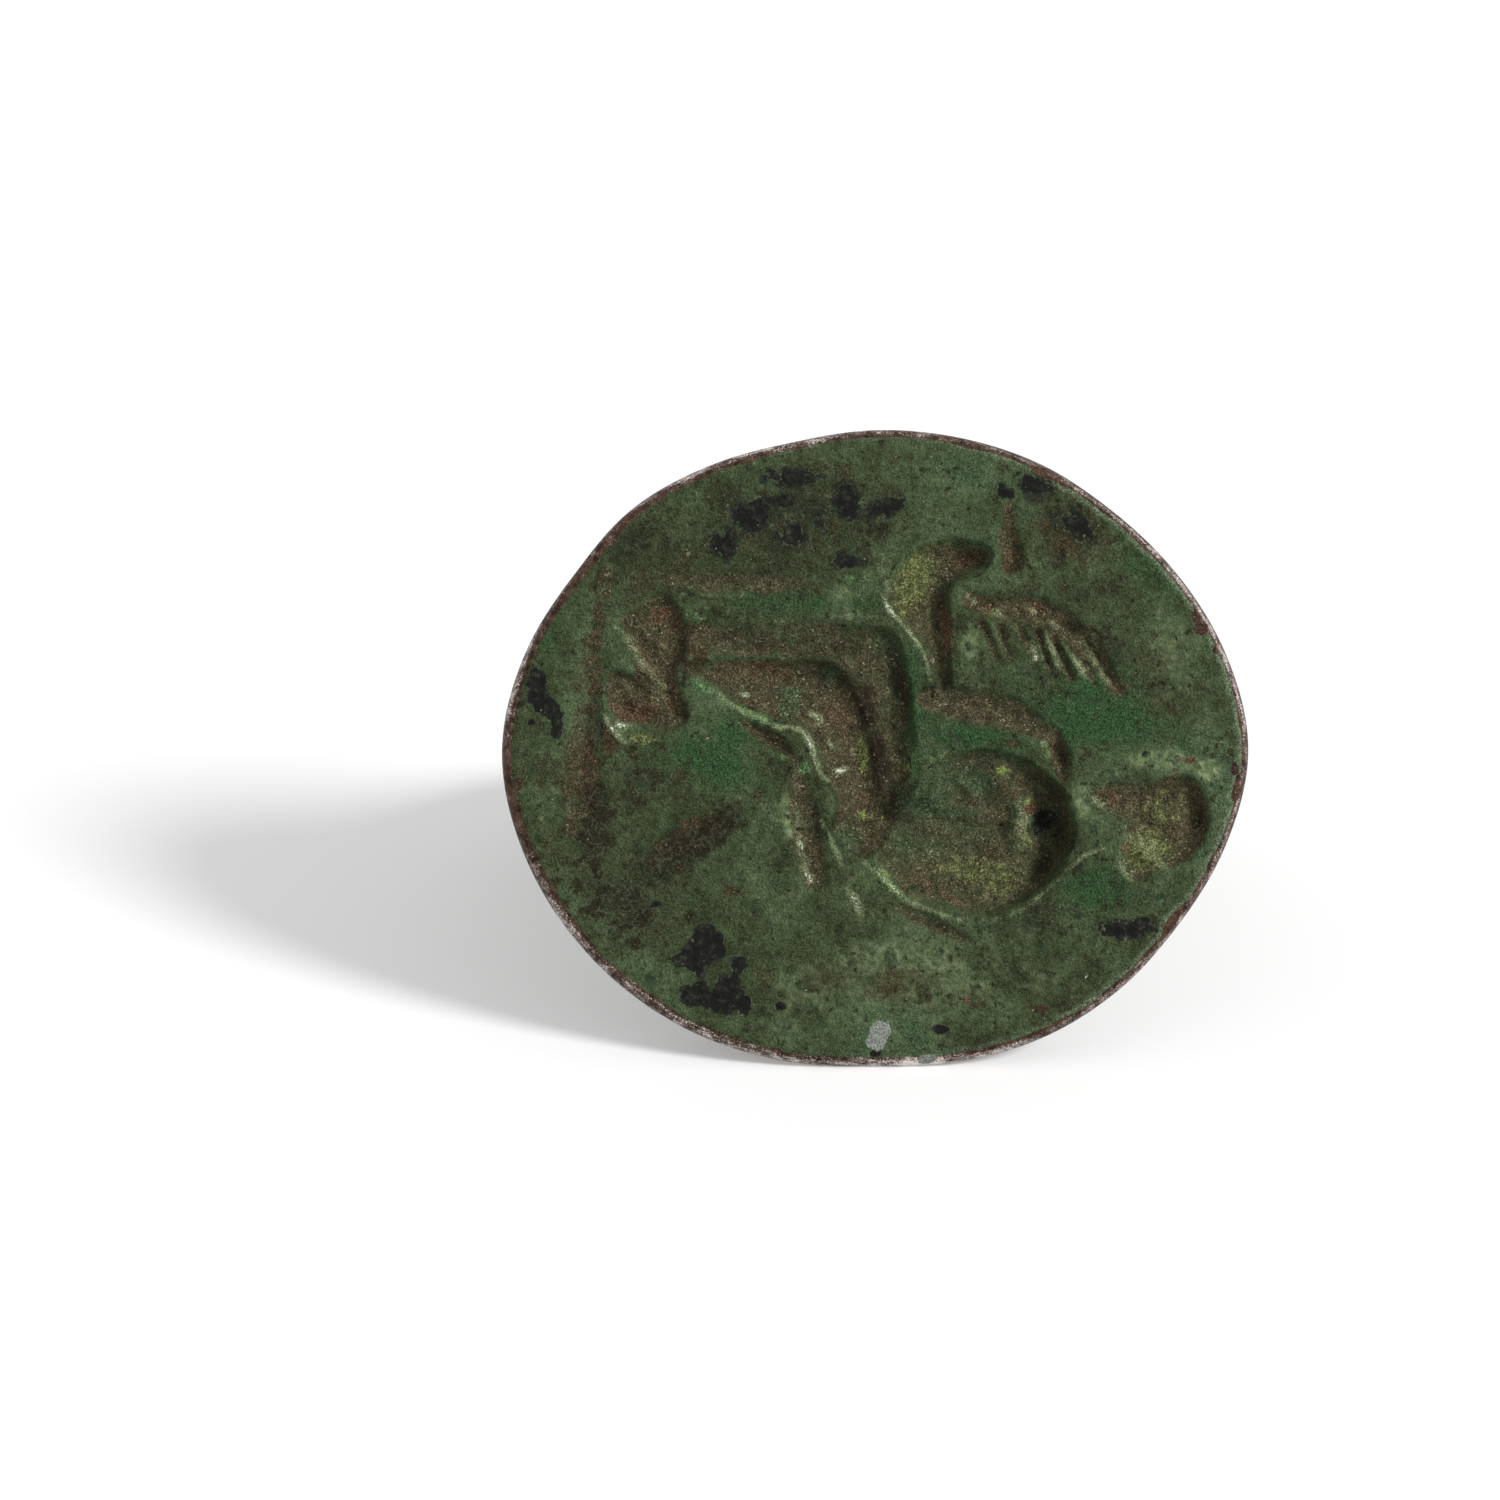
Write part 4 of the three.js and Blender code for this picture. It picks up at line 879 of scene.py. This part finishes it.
HOOP_SIZES = {
    "Bow Radius": BOW_RADIUS,
    "Bow Middle": BOW_MIDDLE,
    "Bow Length": BOW_LENGTH,
    "Length": 2 * (BOW_LENGTH + LEG_LENGTH),
    "Tapers Over": BOW_LENGTH + LEG_LENGTH - FILLET_HEIGHT,
    "Back Width": HOOP_BACK[0],
    "Back Thickness": HOOP_BACK[1] - HOOP_WEAR,
    "Foot Width": HOOP_FOOT[0],
    "Foot Thickness": HOOP_FOOT[1] - HOOP_WEAR,
    "Edge Share": HOOP_EDGE_SHARE,
}
HOOP_COUNTS = {"Points Round": 72, "Rings": 225}
FILLET_STEPS = 10


def hoop_tree(material):
    """A tube of D-shaped rings along the edge of the finger hole. It starts as a cylinder one unit
    round and as long as the hoop, and each point's place there says where it goes: z is the distance
    along the hole's edge from the middle of the back, and x and y go round the ring."""
    tree = bpy.data.node_groups.new("tapering_hoop", "GeometryNodeTree")
    for kind, names in (("NodeSocketFloat", HOOP_SIZES), ("NodeSocketInt", HOOP_COUNTS)):
        for name in names:
            tree.interface.new_socket(name, in_out="INPUT", socket_type=kind)
    tree.interface.new_socket("Hoop", in_out="OUTPUT", socket_type="NodeSocketGeometry")
    part = {socket.name: socket for socket in add(tree, "NodeGroupInput").outputs}
    place = add(tree, "ShaderNodeSeparateXYZ", [add(tree, "GeometryNodeInputPosition")])
    part.update({"x": place.outputs["X"], "y": place.outputs["Y"], "along": place.outputs["Z"]})
    part["far"] = add(tree, "ShaderNodeMath", [part["along"]], operation="ABSOLUTE")

    # Width and thickness grow towards the feet. Down the legs the rings lean, until the last is flat
    # on its seat.
    for name, *span in (
        ("width", 0.0, "Tapers Over", "Back Width", "Foot Width"),
        ("thickness", 0.0, "Tapers Over", "Back Thickness", "Foot Thickness"),
        ("lean", "Bow Length", "Tapers Over", 0.0, 1.0),
    ):
        part[name] = add(tree, "ShaderNodeMapRange", [part["far"], *(part.get(term, term) for term in span)],
                         interpolation_type="SMOOTHSTEP")

    # A name for each value, its operation and its terms
    for name, operation, *terms in (
        # Where the ring is: first round the bow, then straight on along a leg
        ("shorter", "MINIMUM", "far", "Bow Length"),
        ("side", "SIGN", "along"),
        ("on bow", "MULTIPLY", "shorter", "side"),
        ("turn", "DIVIDE", "on bow", "Bow Radius"),
        ("on leg", "SUBTRACT", "along", "on bow"),
        # Its shape: half an ellipse outside the widest line, and a flatter curve inside it
        ("inside", "LESS_THAN", "y", 0.0),
        ("power", "MULTIPLY_ADD", "inside", -0.5, 1.0),
        ("x size", "ABSOLUTE", "x"),
        ("x size", "POWER", "x size", "power"),
        ("x sign", "SIGN", "x"),
        ("x", "MULTIPLY", "x size", "x sign"),
        ("y size", "ABSOLUTE", "y"),
        ("y size", "POWER", "y size", "power"),
        ("y sign", "SIGN", "y"),
        ("y", "MULTIPLY", "y size", "y sign"),
        ("outside", "SUBTRACT", 1.0, "inside"),
        ("outer share", "SUBTRACT", 1.0, "Edge Share"),
        ("share", "MULTIPLY", "outside", "outer share"),
        ("share", "MULTIPLY_ADD", "inside", "Edge Share", "share"),
        ("height", "MULTIPLY_ADD", "y", "share", "Edge Share"),
        ("height", "MULTIPLY", "height", "thickness"),
        ("radius", "ADD", "height", "Bow Radius"),
        ("across", "MULTIPLY", "x", "width"),
        ("across", "MULTIPLY", "across", -0.5),
        # How far a leaning ring's points slide along the leg
        ("slope", "TANGENT", "turn"),
        ("slide", "DIVIDE", "height", "slope"),
        ("on leg", "MULTIPLY_ADD", "slide", "lean", "on leg"),
        ("back", "MULTIPLY", "turn", -1.0),
    ):
        part[name] = add(tree, "ShaderNodeMath", [part.get(term, term) for term in terms],
                         operation=operation)

    place = add(tree, "ShaderNodeCombineXYZ", [part["on leg"], part["radius"], part["across"]])
    place = add(tree, "ShaderNodeVectorRotate", {"Vector": place, "Angle": part["back"]},
                rotation_type="Z_AXIS")
    middle = add(tree, "ShaderNodeCombineXYZ", {"Y": part["Bow Middle"]})
    place = add(tree, "ShaderNodeVectorMath", [place, middle])
    hoop = add(tree, "GeometryNodeMeshCylinder", {
        "Vertices": part["Points Round"],
        "Side Segments": part["Rings"],
        "Radius": 1.0,
        "Depth": part["Length"],
    }, fill_type="NGON")
    hoop = add(tree, "GeometryNodeSetPosition", {"Geometry": hoop, "Position": place})
    hoop = add(tree, "GeometryNodeRealizeInstances", {"Geometry": hoop})
    hoop = add(tree, "GeometryNodeSetMaterial", {"Geometry": hoop, "Material": material})
    add(tree, "NodeGroupOutput", {"Hoop": hoop})
    return tree


def grown(tree, values):
    """The mesh that a tree of Geometry Nodes makes from these values of its inputs."""
    holder = bpy.data.objects.new(tree.name, bpy.data.meshes.new(tree.name))
    bpy.context.scene.collection.objects.link(holder)
    modifier = holder.modifiers.new(tree.name, "NODES")
    modifier.node_group = tree
    for socket in tree.interface.items_tree:
        if socket.name in values:
            modifier[socket.identifier] = values[socket.name]
    mesh = bpy.data.meshes.new_from_object(holder.evaluated_get(bpy.context.evaluated_depsgraph_get()))
    bpy.data.objects.remove(holder)
    return mesh


def make_hoop(material):
    """Makes the hoop, and gives back the outline of each foot."""
    mesh = grown(hoop_tree(material), {**HOOP_SIZES, **HOOP_COUNTS})
    points = np.empty(3 * len(mesh.vertices), np.float32)
    mesh.vertices.foreach_get("co", points)
    points = points.reshape(-1, 3).astype(float)
    mesh.vertices.foreach_set("co", to_row(points).astype(np.float32).ravel())
    placed("hoop_worn", mesh, "hoop")
    feet = {}
    for side in (-1, 1):
        foot = points[(points[:, 1] < SEAT + 0.01) & (side * points[:, 0] > 0)]
        away = foot - foot.mean(axis=0)
        feet[side] = foot[np.argsort(np.arctan2(away[:, 2], away[:, 0]))]
    return feet


def skin(rings):
    """Quads between rings of equal count, and a fan at each end."""
    count = len(rings[0])
    total = count * len(rings)
    faces = []
    for k in range(len(rings) - 1):
        a = k * count + np.arange(count)
        faces.append(np.stack([a, np.roll(a, -1), np.roll(a, -1) + count, a + count], 1))
    first, last = np.arange(count), total - count + np.arange(count)
    faces.append(np.stack([np.roll(first, -1), first, np.full(count, total)], 1))
    faces.append(np.stack([last, np.roll(last, -1), np.full(count, total + 1)], 1))
    ends = np.array([rings[0].mean(axis=0), rings[-1].mean(axis=0)])
    return np.concatenate(list(rings) + [ends]), faces


def make_solder(side, foot, material):
    """A pad under a foot, with a hollow fillet round it, as one cup that the foot stands in."""
    name = "left" if side < 0 else "right"
    bottom = -SOLDER_PAD - SOLDER_GAP
    up_leg = np.array([-side / math.tan(LEG_START), 1, 0])
    # Outwards from the foot's outline, at each of its points
    after, before = np.roll(foot, -1, axis=0), np.roll(foot, 1, axis=0)
    out = np.stack([after[:, 2] - before[:, 2], 0 * after[:, 0], before[:, 0] - after[:, 0]], 1)
    out /= np.linalg.norm(out, axis=1)[:, None]
    out *= np.sign((out * (foot - foot.mean(axis=0))).sum(axis=1).mean())
    cup = []
    for k in range(FILLET_STEPS + 1):
        turn = math.pi / 2 * k / FILLET_STEPS
        height = bottom + (FILLET_HEIGHT - bottom) * (1 - math.cos(turn))
        cup.append((height, SOLDER_REACH - FILLET_WIDTH * math.sin(turn)))
    cup += [(FILLET_HEIGHT, 0), (-SOLDER_GAP, 0)]
    points, faces = skin([foot + height * up_leg + offset * out for height, offset in cup])
    make_piece(f"solder_fillet_{name}", points, faces, material, f"solder_{name}")


# Materials
GRAIN_ROUGHNESS = 0.62
TINT_SPREAD = 0.16  # how far a grain strays from a half; the outer tints of a stain lie there


def cleared_tree(owner):
    """The node tree of a material or a world, with nothing in it yet."""
    owner.use_nodes = True
    owner.node_tree.nodes.clear()
    return owner.node_tree


def start_material(name, sizes):
    """A material, its node tree, and its grains: noise by name, on Object coordinates, for features
    of given sizes in millimetres and given detail."""
    material = bpy.data.materials.new(name)
    tree = cleared_tree(material)
    place = add(tree, "ShaderNodeTexCoord").outputs["Object"]
    grain = {}
    for label, (size, detail) in sizes.items():
        grain[label] = add(tree, "ShaderNodeTexNoise", {"Vector": place, "Scale": 1 / (size * MM),
                           "Detail": detail, "Roughness": GRAIN_ROUGHNESS})
    return material, tree, grain


def laid_on(tree, surface, amount, ragged, coarse, low, high, fine, tints):
    """A stain over a surface, where its amount passes from low to high. A coarse grain makes the
    edge ragged, by up to that much, and a fine one picks among the stain's tints."""
    edge = add(tree, "ShaderNodeMath", [coarse, ragged, amount], operation="MULTIPLY_ADD")
    mask = add(tree, "ShaderNodeMapRange", [edge, low + ragged / 2, high + ragged / 2],
               interpolation_type="SMOOTHSTEP")
    places = [0.5 + TINT_SPREAD * (2 * k / (len(tints) - 1) - 1) for k in range(len(tints))]
    tint = add(tree, "ShaderNodeValToRGB", [fine], list(zip(places, tints)))
    return add(tree, "ShaderNodeMix", [mask, surface, tint], data_type="RGBA"), mask


# What lies on the bronze, from below upwards: its amount, how ragged its edge is and by which grain,
# the amounts where it begins and is whole, the grain that picks its tint, and its tints. Some of
# it is painted light and shade, as marked.
LAYERS = [
    ("crust", 4.0, "small", 1.15, 1.85, "grit", ("#1f210f", "#31331e", "#4b4e34")),
    ("crust", 4.0, "patchy", 1.25, 1.75, "grit", ("#1f1b10", "#36311e", "#545035")),
    ("crust", 3.0, "broad", 1.15, 1.7, "grit", ("#2a3b25", "#40573a", "#5c7353")),
    ("pale", 1.2, "middling", 0.25, 0.9, "fine", ("#4f6040", "#6f8058", "#98a078")),
    ("emerald", 2.2, "patchy", 0.1, 1.0, "grit", ("#14280f", "#294727", "#426a3e")),
    ("brown", 2.4, "patchy", 0.3, 0.9, "grit", ("#1a150c", "#372d1b", "#5a4b30")),
    ("crust", 4.0, "middling", 1.4, 1.75, "fine", ("#26301f", "#3f4b36", "#5f6c50")),
    ("crust", 4.0, "smudge", 1.35, 1.6, "grit", ("#15150b", "#282917", "#41432b")),
    ("crust", 4.0, "blotch", 1.35, 1.9, "fine", ("#18261a", "#2b412c", "#485f44")),
    ("sooty", 2.6, "small", 0.15, 0.95, "grit", ("#11100a", "#232110", "#3b3a20")),
    ("fringe", 1.2, "fine", 0.4, 1.1, "grit", ("#3a4a35", "#5c6d53", "#8b977c")),
    # Lighter on the convex edges: partly wear, partly painted highlight
    ("lip", 1.5, "fine", 1.0, 3.0, "grit", ("#34502f", "#4e6f45", "#86966a")),
    ("floor", 1.5, "small", 0.3, 0.9, "speck", ("#1e1c11", "#423d29", "#746f54")),
    ("floor", 3.4, "patchy", 1.05, 1.75, "speck", ("#271a12", "#4d3929", "#7f6c57")),
    ("floor", 3.0, "small", 1.1, 1.9, "speck", ("#1c2214", "#40472f", "#747b5d")),
    # Painted shade on the shadowed walls of the cuts
    ("painted_wall_shade", 1.2, "small", 0.2, 1.3, "speck", ("#120d08", "#241b11", "#3c2e20")),
    ("leafy", 1.9, "small", 0.25, 1.1, "speck", ("#1b2614", "#37482c", "#66775a")),
    # Partly painted light on the lit slopes
    ("gold", 1.5, "fine", 0.3, 1.1, "speck", ("#272b16", "#535a31", "#9ba168")),
    # Painted shade in the concave creases
    ("crevice_shade", 1.0, "fine", 0.8, 3.2, "grit", ("#0f0e09", "#1c1c11", "#2a2c1a")),
    ("black", 2.2, "lobes", 0.34, 0.44, "smudge", ("#14231a", "#2a3d2d", "#6a7555")),
    ("black", 2.2, "lobes", 0.42, 0.48, "fine", ("#090a07", "#131410", "#282a22")),
    ("chalk", 1.0, "fine", 0.45, 0.55, "grit", ("#6f746d", "#8b9089", "#a9ada6")),
    ("oxide", 1.6, "smudge", 0.42, 0.5, "grit", ("#22130e", "#3d2820", "#5f4a3e")),
    ("rust", 1.8, "fine", 0.35, 0.9, "grit", ("#2b1a11", "#543827", "#8a705a")),
    ("verdant", 1.8, "fine", 0.35, 1.0, "grit", ("#28431f", "#4c7440", "#93ad7a")),
    ("lime", 1.6, "fine", 0.3, 1.0, "grit", ("#46561f", "#74863e", "#b4bf78")),
    # Bright grains on the edges: partly wear, partly painted highlights
    ("worn", 1.3, "fine", 0.05, 1.0, "grit", ("#44543a", "#7c8a63", "#b9b993")),
    # Near-white painted glints
    ("worn", 1.5, "grit", 0.85, 1.0, "grit", ("#a9a894", "#d5d2c3", "#f0eee6")),
]


def patinated_bronze():
    """Cast bronze under a burial patina: a matt green crust, thick enough to hide the metal, brown and
    glittering where it lies in the hollows, black where it is densest, and worn off at the rim,
    where the metal is brown and shows bright in places. Painted into its colour are shade in the
    creases and on the shadowed walls of the cuts, and highlights on the edges, in the flecks and
    along the rim."""
    material, tree, grain = start_material("patinated_bronze", {
        "broad": (3.4, 3), "patchy": (1.7, 6), "middling": (1.1, 6), "blotch": (0.8, 7), "small": (0.55, 5),
        "smudge": (0.3, 6), "fine": (0.28, 4), "speckle": (0.1, 1), "grit": (0.06, 2)})
    grain["lobes"] = add(tree, "ShaderNodeMix", [0.55, grain["small"], grain["fine"]])
    grain["speck"] = add(tree, "ShaderNodeMix", [0.3, grain["grit"], grain["fine"]])
    amount = {name: add(tree, "ShaderNodeAttribute", attribute_name=name).outputs["Fac"]
              for name in ("floor", "worn", "lip", "crevice_shade", "crust", "bare", "fringe", *STAINS)}

    # What the grains and the amounts add up to: a name for each sum, its operation and its terms
    part = {**grain, **{f"{name} amount": amount[name] for name in ("black", "sooty", "floor", "bare")}}
    part["thread"] = add(tree, "ShaderNodeValToRGB", [grain["small"]], [
        (0.475, "#000000"), (0.5, "#ffffff"), (0.525, "#000000")])
    covered = add(tree, "ShaderNodeMath", [amount["crust"], amount["chalk"]])
    part["open metal"] = add(tree, "ShaderNodeMapRange", [covered, 0.6, 0.4])
    for name, operation, *terms in (
        # Light and dark of the crust itself
        ("mottle", "MULTIPLY_ADD", "middling", 0.9, "broad"),
        ("mottle", "MULTIPLY_ADD", "fine", 0.4, "mottle"),
        ("mottle", "MULTIPLY_ADD", "grit", 1.0, "mottle"),
        # Threads, strongest where it is sooty and gone where it is black
        ("laced", "MULTIPLY_ADD", "sooty amount", 0.2, 0.1),
        ("laced", "MULTIPLY_ADD", "black amount", -0.4, "laced"),
        ("laced", "MAXIMUM", "laced", 0.0),
        ("laced", "MULTIPLY", "laced", "thread"),
        # Crystals, partly painted glints, and pits
        ("bright", "MULTIPLY_ADD", "floor amount", 0.1, "speckle"),
        ("bright", "MULTIPLY_ADD", "small", 0.5, "bright"),
        ("dull", "MULTIPLY_ADD", "patchy", 0.5, "fine"),
        # Rubbed metal, the height of the grain, and how metallic the surface is
        ("streaks", "MULTIPLY_ADD", "grit", 1.8, "bare amount"),
        ("streaks", "MULTIPLY_ADD", "fine", 0.9, "streaks"),
        ("relief", "MULTIPLY_ADD", "fine", 2.0, "grit"),
        ("metallic", "MULTIPLY", "open metal", 0.6),
    ):
        part[name] = add(tree, "ShaderNodeMath", [part.get(term, term) for term in terms],
                         operation=operation)

    mottle = add(tree, "ShaderNodeMapRange", [part["mottle"], 1.2, 2.1])
    surface = add(tree, "ShaderNodeValToRGB", [mottle], [
        (0.1, "#1b1f10"), (0.36, "#374026"), (0.6, "#4a5a3b"), (0.9, "#6b7b5a")])
    for name, ragged, coarse, low, high, fine, tints in LAYERS:
        surface, mask = laid_on(tree, surface, amount[name], ragged, grain[coarse], low, high,
                                grain[fine], tints)
    # The last layer's mask: the near-white painted glints
    glint = mask

    # Pale threads where the crust is sooty, bright crystals among the dull grains, thickest in the
    # hollows and partly painted glints, and dark pits
    fleck_glint = add(tree, "ShaderNodeMapRange", [part["bright"], 1.02, 1.08, 0.0, 0.75])
    pit = add(tree, "ShaderNodeMapRange", [part["dull"], 0.57, 0.53, 0.0, 0.85])
    for mask, code in ((part["laced"], "#7d8a6c"), (fleck_glint, "#a5a07c"), (pit, "#12130b")):
        surface = add(tree, "ShaderNodeMix", [mask, surface, colour(code)], data_type="RGBA")

    # The rim: brown oxide, rubbed to pinkish silver in mottled streaks, brightest along a line that is a
    # painted highlight
    oxide = add(tree, "ShaderNodeValToRGB", [grain["fine"]], [(0.35, "#2a1a12"), (0.65, "#5b4435")])
    worn = add(tree, "ShaderNodeMapRange", [part["streaks"], 1.6, 2.4])
    silver = add(tree, "ShaderNodeValToRGB", [worn], [(0.3, "#7d716b"), (0.6, "#aa9f98"), (1.0, "#ebe2db")])
    bared = add(tree, "ShaderNodeMapRange", [worn, 0.0, 0.5])
    metal = add(tree, "ShaderNodeMix", [bared, oxide, silver], data_type="RGBA")
    surface = add(tree, "ShaderNodeMix", [part["open metal"], surface, metal], data_type="RGBA")

    shiny = add(tree, "ShaderNodeMath", [part["open metal"], fleck_glint], operation="MAXIMUM")
    shiny = add(tree, "ShaderNodeMath", [shiny, glint], operation="MAXIMUM")
    bump = add(tree, "ShaderNodeBump", {"Height": part["relief"], "Strength": 1.0, "Distance": 0.08 * MM})
    shader = add(tree, "ShaderNodeBsdfPrincipled", {
        "Base Color": surface,
        "Metallic": part["metallic"],
        "Roughness": add(tree, "ShaderNodeMapRange", [shiny, 0.0, 1.0, 0.7, 0.35]),
        "Specular IOR Level": 0.15,
        "Normal": bump,
    })
    add(tree, "ShaderNodeOutputMaterial", {"Surface": shader})
    return material


def brown_bronze():
    """Bronze handled until the oxide is smooth and brown, with green left where fingers don't rub."""
    material, tree, grain = start_material("brown_bronze", {"broad": (4.0, 8), "fine": (0.4, 5)})
    surface = add(tree, "ShaderNodeValToRGB", [grain["fine"]], [(0.35, "#33241a"), (0.65, "#5e4430")])
    surface, green = laid_on(tree, surface, 0.0, 1.6, grain["broad"], -0.1, 0.3, grain["fine"],
                             ("#202817", "#3b4a2e", "#5d6b4a"))
    bump = add(tree, "ShaderNodeBump", {"Height": grain["fine"], "Strength": 0.4, "Distance": 0.05 * MM})
    shader = add(tree, "ShaderNodeBsdfPrincipled", {
        "Base Color": surface,
        "Metallic": add(tree, "ShaderNodeMapRange", [green, 0.0, 1.0, 0.6, 0.0]),
        "Roughness": add(tree, "ShaderNodeMapRange", [green, 0.0, 1.0, 0.45, 0.7]),
        "Normal": bump,
    })
    add(tree, "ShaderNodeOutputMaterial", {"Surface": shader})
    return material


def old_solder():
    """Hard solder gone grey-green, with a dull, slightly lumpy skin."""
    material, tree, grain = start_material("old_solder", {"fine": (0.3, 5)})
    surface = add(tree, "ShaderNodeValToRGB", [grain["fine"]], [(0.35, "#3a3a2c"), (0.65, "#6a6c56")])
    bump = add(tree, "ShaderNodeBump", {"Height": grain["fine"], "Strength": 0.6, "Distance": 0.06 * MM})
    shader = add(tree, "ShaderNodeBsdfPrincipled", {
        "Base Color": surface, "Metallic": 0.3, "Roughness": 0.6, "Normal": bump})
    add(tree, "ShaderNodeOutputMaterial", {"Surface": shader})
    return material


# Light: one wide source high on the right, in front, and an even fill from all round
TOWARDS_KEY = Vector((0.7, -0.434, 0.567))
KEY_LEVEL = 0.85  # what a white surface square to the light sends back
KEY_ANGLE = 15.0  # degrees that the source is wide
FILL_LEVEL = 0.5
CARD_WHITE = 0.8
CARD_GLOW = 0.275  # keeps the lit card white for the camera alone
CARD_BOUNCE = 0.5  # what the card sends back to the ring
FLOOR_HALF = 2.0  # metres


def straight_rays(tree):
    """One for camera, glossy and transmission rays, which see the background as plain white."""
    path = add(tree, "ShaderNodeLightPath").outputs
    seen = add(tree, "ShaderNodeMath", [path["Is Camera Ray"], path["Is Glossy Ray"]], operation="MAXIMUM")
    return add(tree, "ShaderNodeMath", [seen, path["Is Transmission Ray"]], operation="MAXIMUM")


def pale_card():
    """Smooth white card: white where it is lit, and grey only in the ring's shadow."""
    material = bpy.data.materials.new("pale_card")
    tree = cleared_tree(material)
    lit = add(tree, "ShaderNodeBsdfDiffuse", {"Color": (CARD_WHITE, CARD_WHITE, CARD_WHITE, 1)})
    glow = add(tree, "ShaderNodeEmission", {"Strength": CARD_GLOW})
    seen = add(tree, "ShaderNodeAddShader", [lit, glow])
    bounce = add(tree, "ShaderNodeBsdfDiffuse", {"Color": (CARD_BOUNCE, CARD_BOUNCE, CARD_BOUNCE, 1)})
    mixed = add(tree, "ShaderNodeMixShader", [straight_rays(tree), bounce, seen])
    add(tree, "ShaderNodeOutputMaterial", {"Surface": mixed})
    return material


def make_light():
    """The key light and the world."""
    key = bpy.data.lights.new("key", "SUN")
    key.energy = KEY_LEVEL * math.pi
    key.angle = math.radians(KEY_ANGLE)
    lamp = bpy.data.objects.new("key", key)
    lamp.rotation_mode = "QUATERNION"
    lamp.rotation_quaternion = TOWARDS_KEY.to_track_quat("Z", "Y")
    bpy.context.scene.collection.objects.link(lamp)
    world = bpy.data.worlds.new("studio")
    tree = cleared_tree(world)
    strength = add(tree, "ShaderNodeMapRange", [straight_rays(tree), 0.0, 1.0, FILL_LEVEL, 1.0])
    background = add(tree, "ShaderNodeBackground", {"Color": (1, 1, 1, 1), "Strength": strength})
    add(tree, "ShaderNodeOutputWorld", {"Surface": background})
    bpy.context.scene.world = world
    bpy.context.scene.view_settings.view_transform = "Standard"


def make_floor():
    """The card that the ring stands on."""
    mesh = bpy.data.meshes.new("card")
    corners = [(x * FLOOR_HALF, y * FLOOR_HALF, 0) for x, y in ((-1, -1), (1, -1), (1, 1), (-1, 1))]
    mesh.from_pydata(corners, [], [(0, 1, 2, 3)])
    mesh.materials.append(pale_card())
    floor = bpy.data.objects.new("card", mesh)
    bpy.context.scene.collection.objects.link(floor)


# Camera: square to the face, with the ring right of the middle of the view
LENS = 100.0
SENSOR = 36.0
VIEW_WIDTH = 49.95  # across the picture, at the face
VIEW_LEFT = 4.18  # how far left of the face's middle the camera looks


def make_camera():
    """The camera, far enough off that the face fills its share of the picture."""
    camera = bpy.data.cameras.new("camera")
    camera.lens = LENS
    camera.sensor_width = SENSOR
    seen = bpy.data.objects.new("camera", camera)
    aim = FACE_MIDDLE - VIEW_LEFT * MM * RIGHT
    distance = VIEW_WIDTH * MM * LENS / SENSOR
    seen.location = aim - distance * INTO
    seen.rotation_mode = "QUATERNION"
    seen.rotation_quaternion = Matrix([RIGHT, UP, -INTO]).transposed().to_quaternion()
    camera.clip_start = distance / 100
    camera.clip_end = distance * 100
    bpy.context.scene.collection.objects.link(seen)
    bpy.context.scene.camera = seen


make_camera()
make_light()
make_floor()
make_plate(patinated_bronze())
feet = make_hoop(brown_bronze())
solder = old_solder()
for side, foot in feet.items():
    make_solder(side, foot, solder)
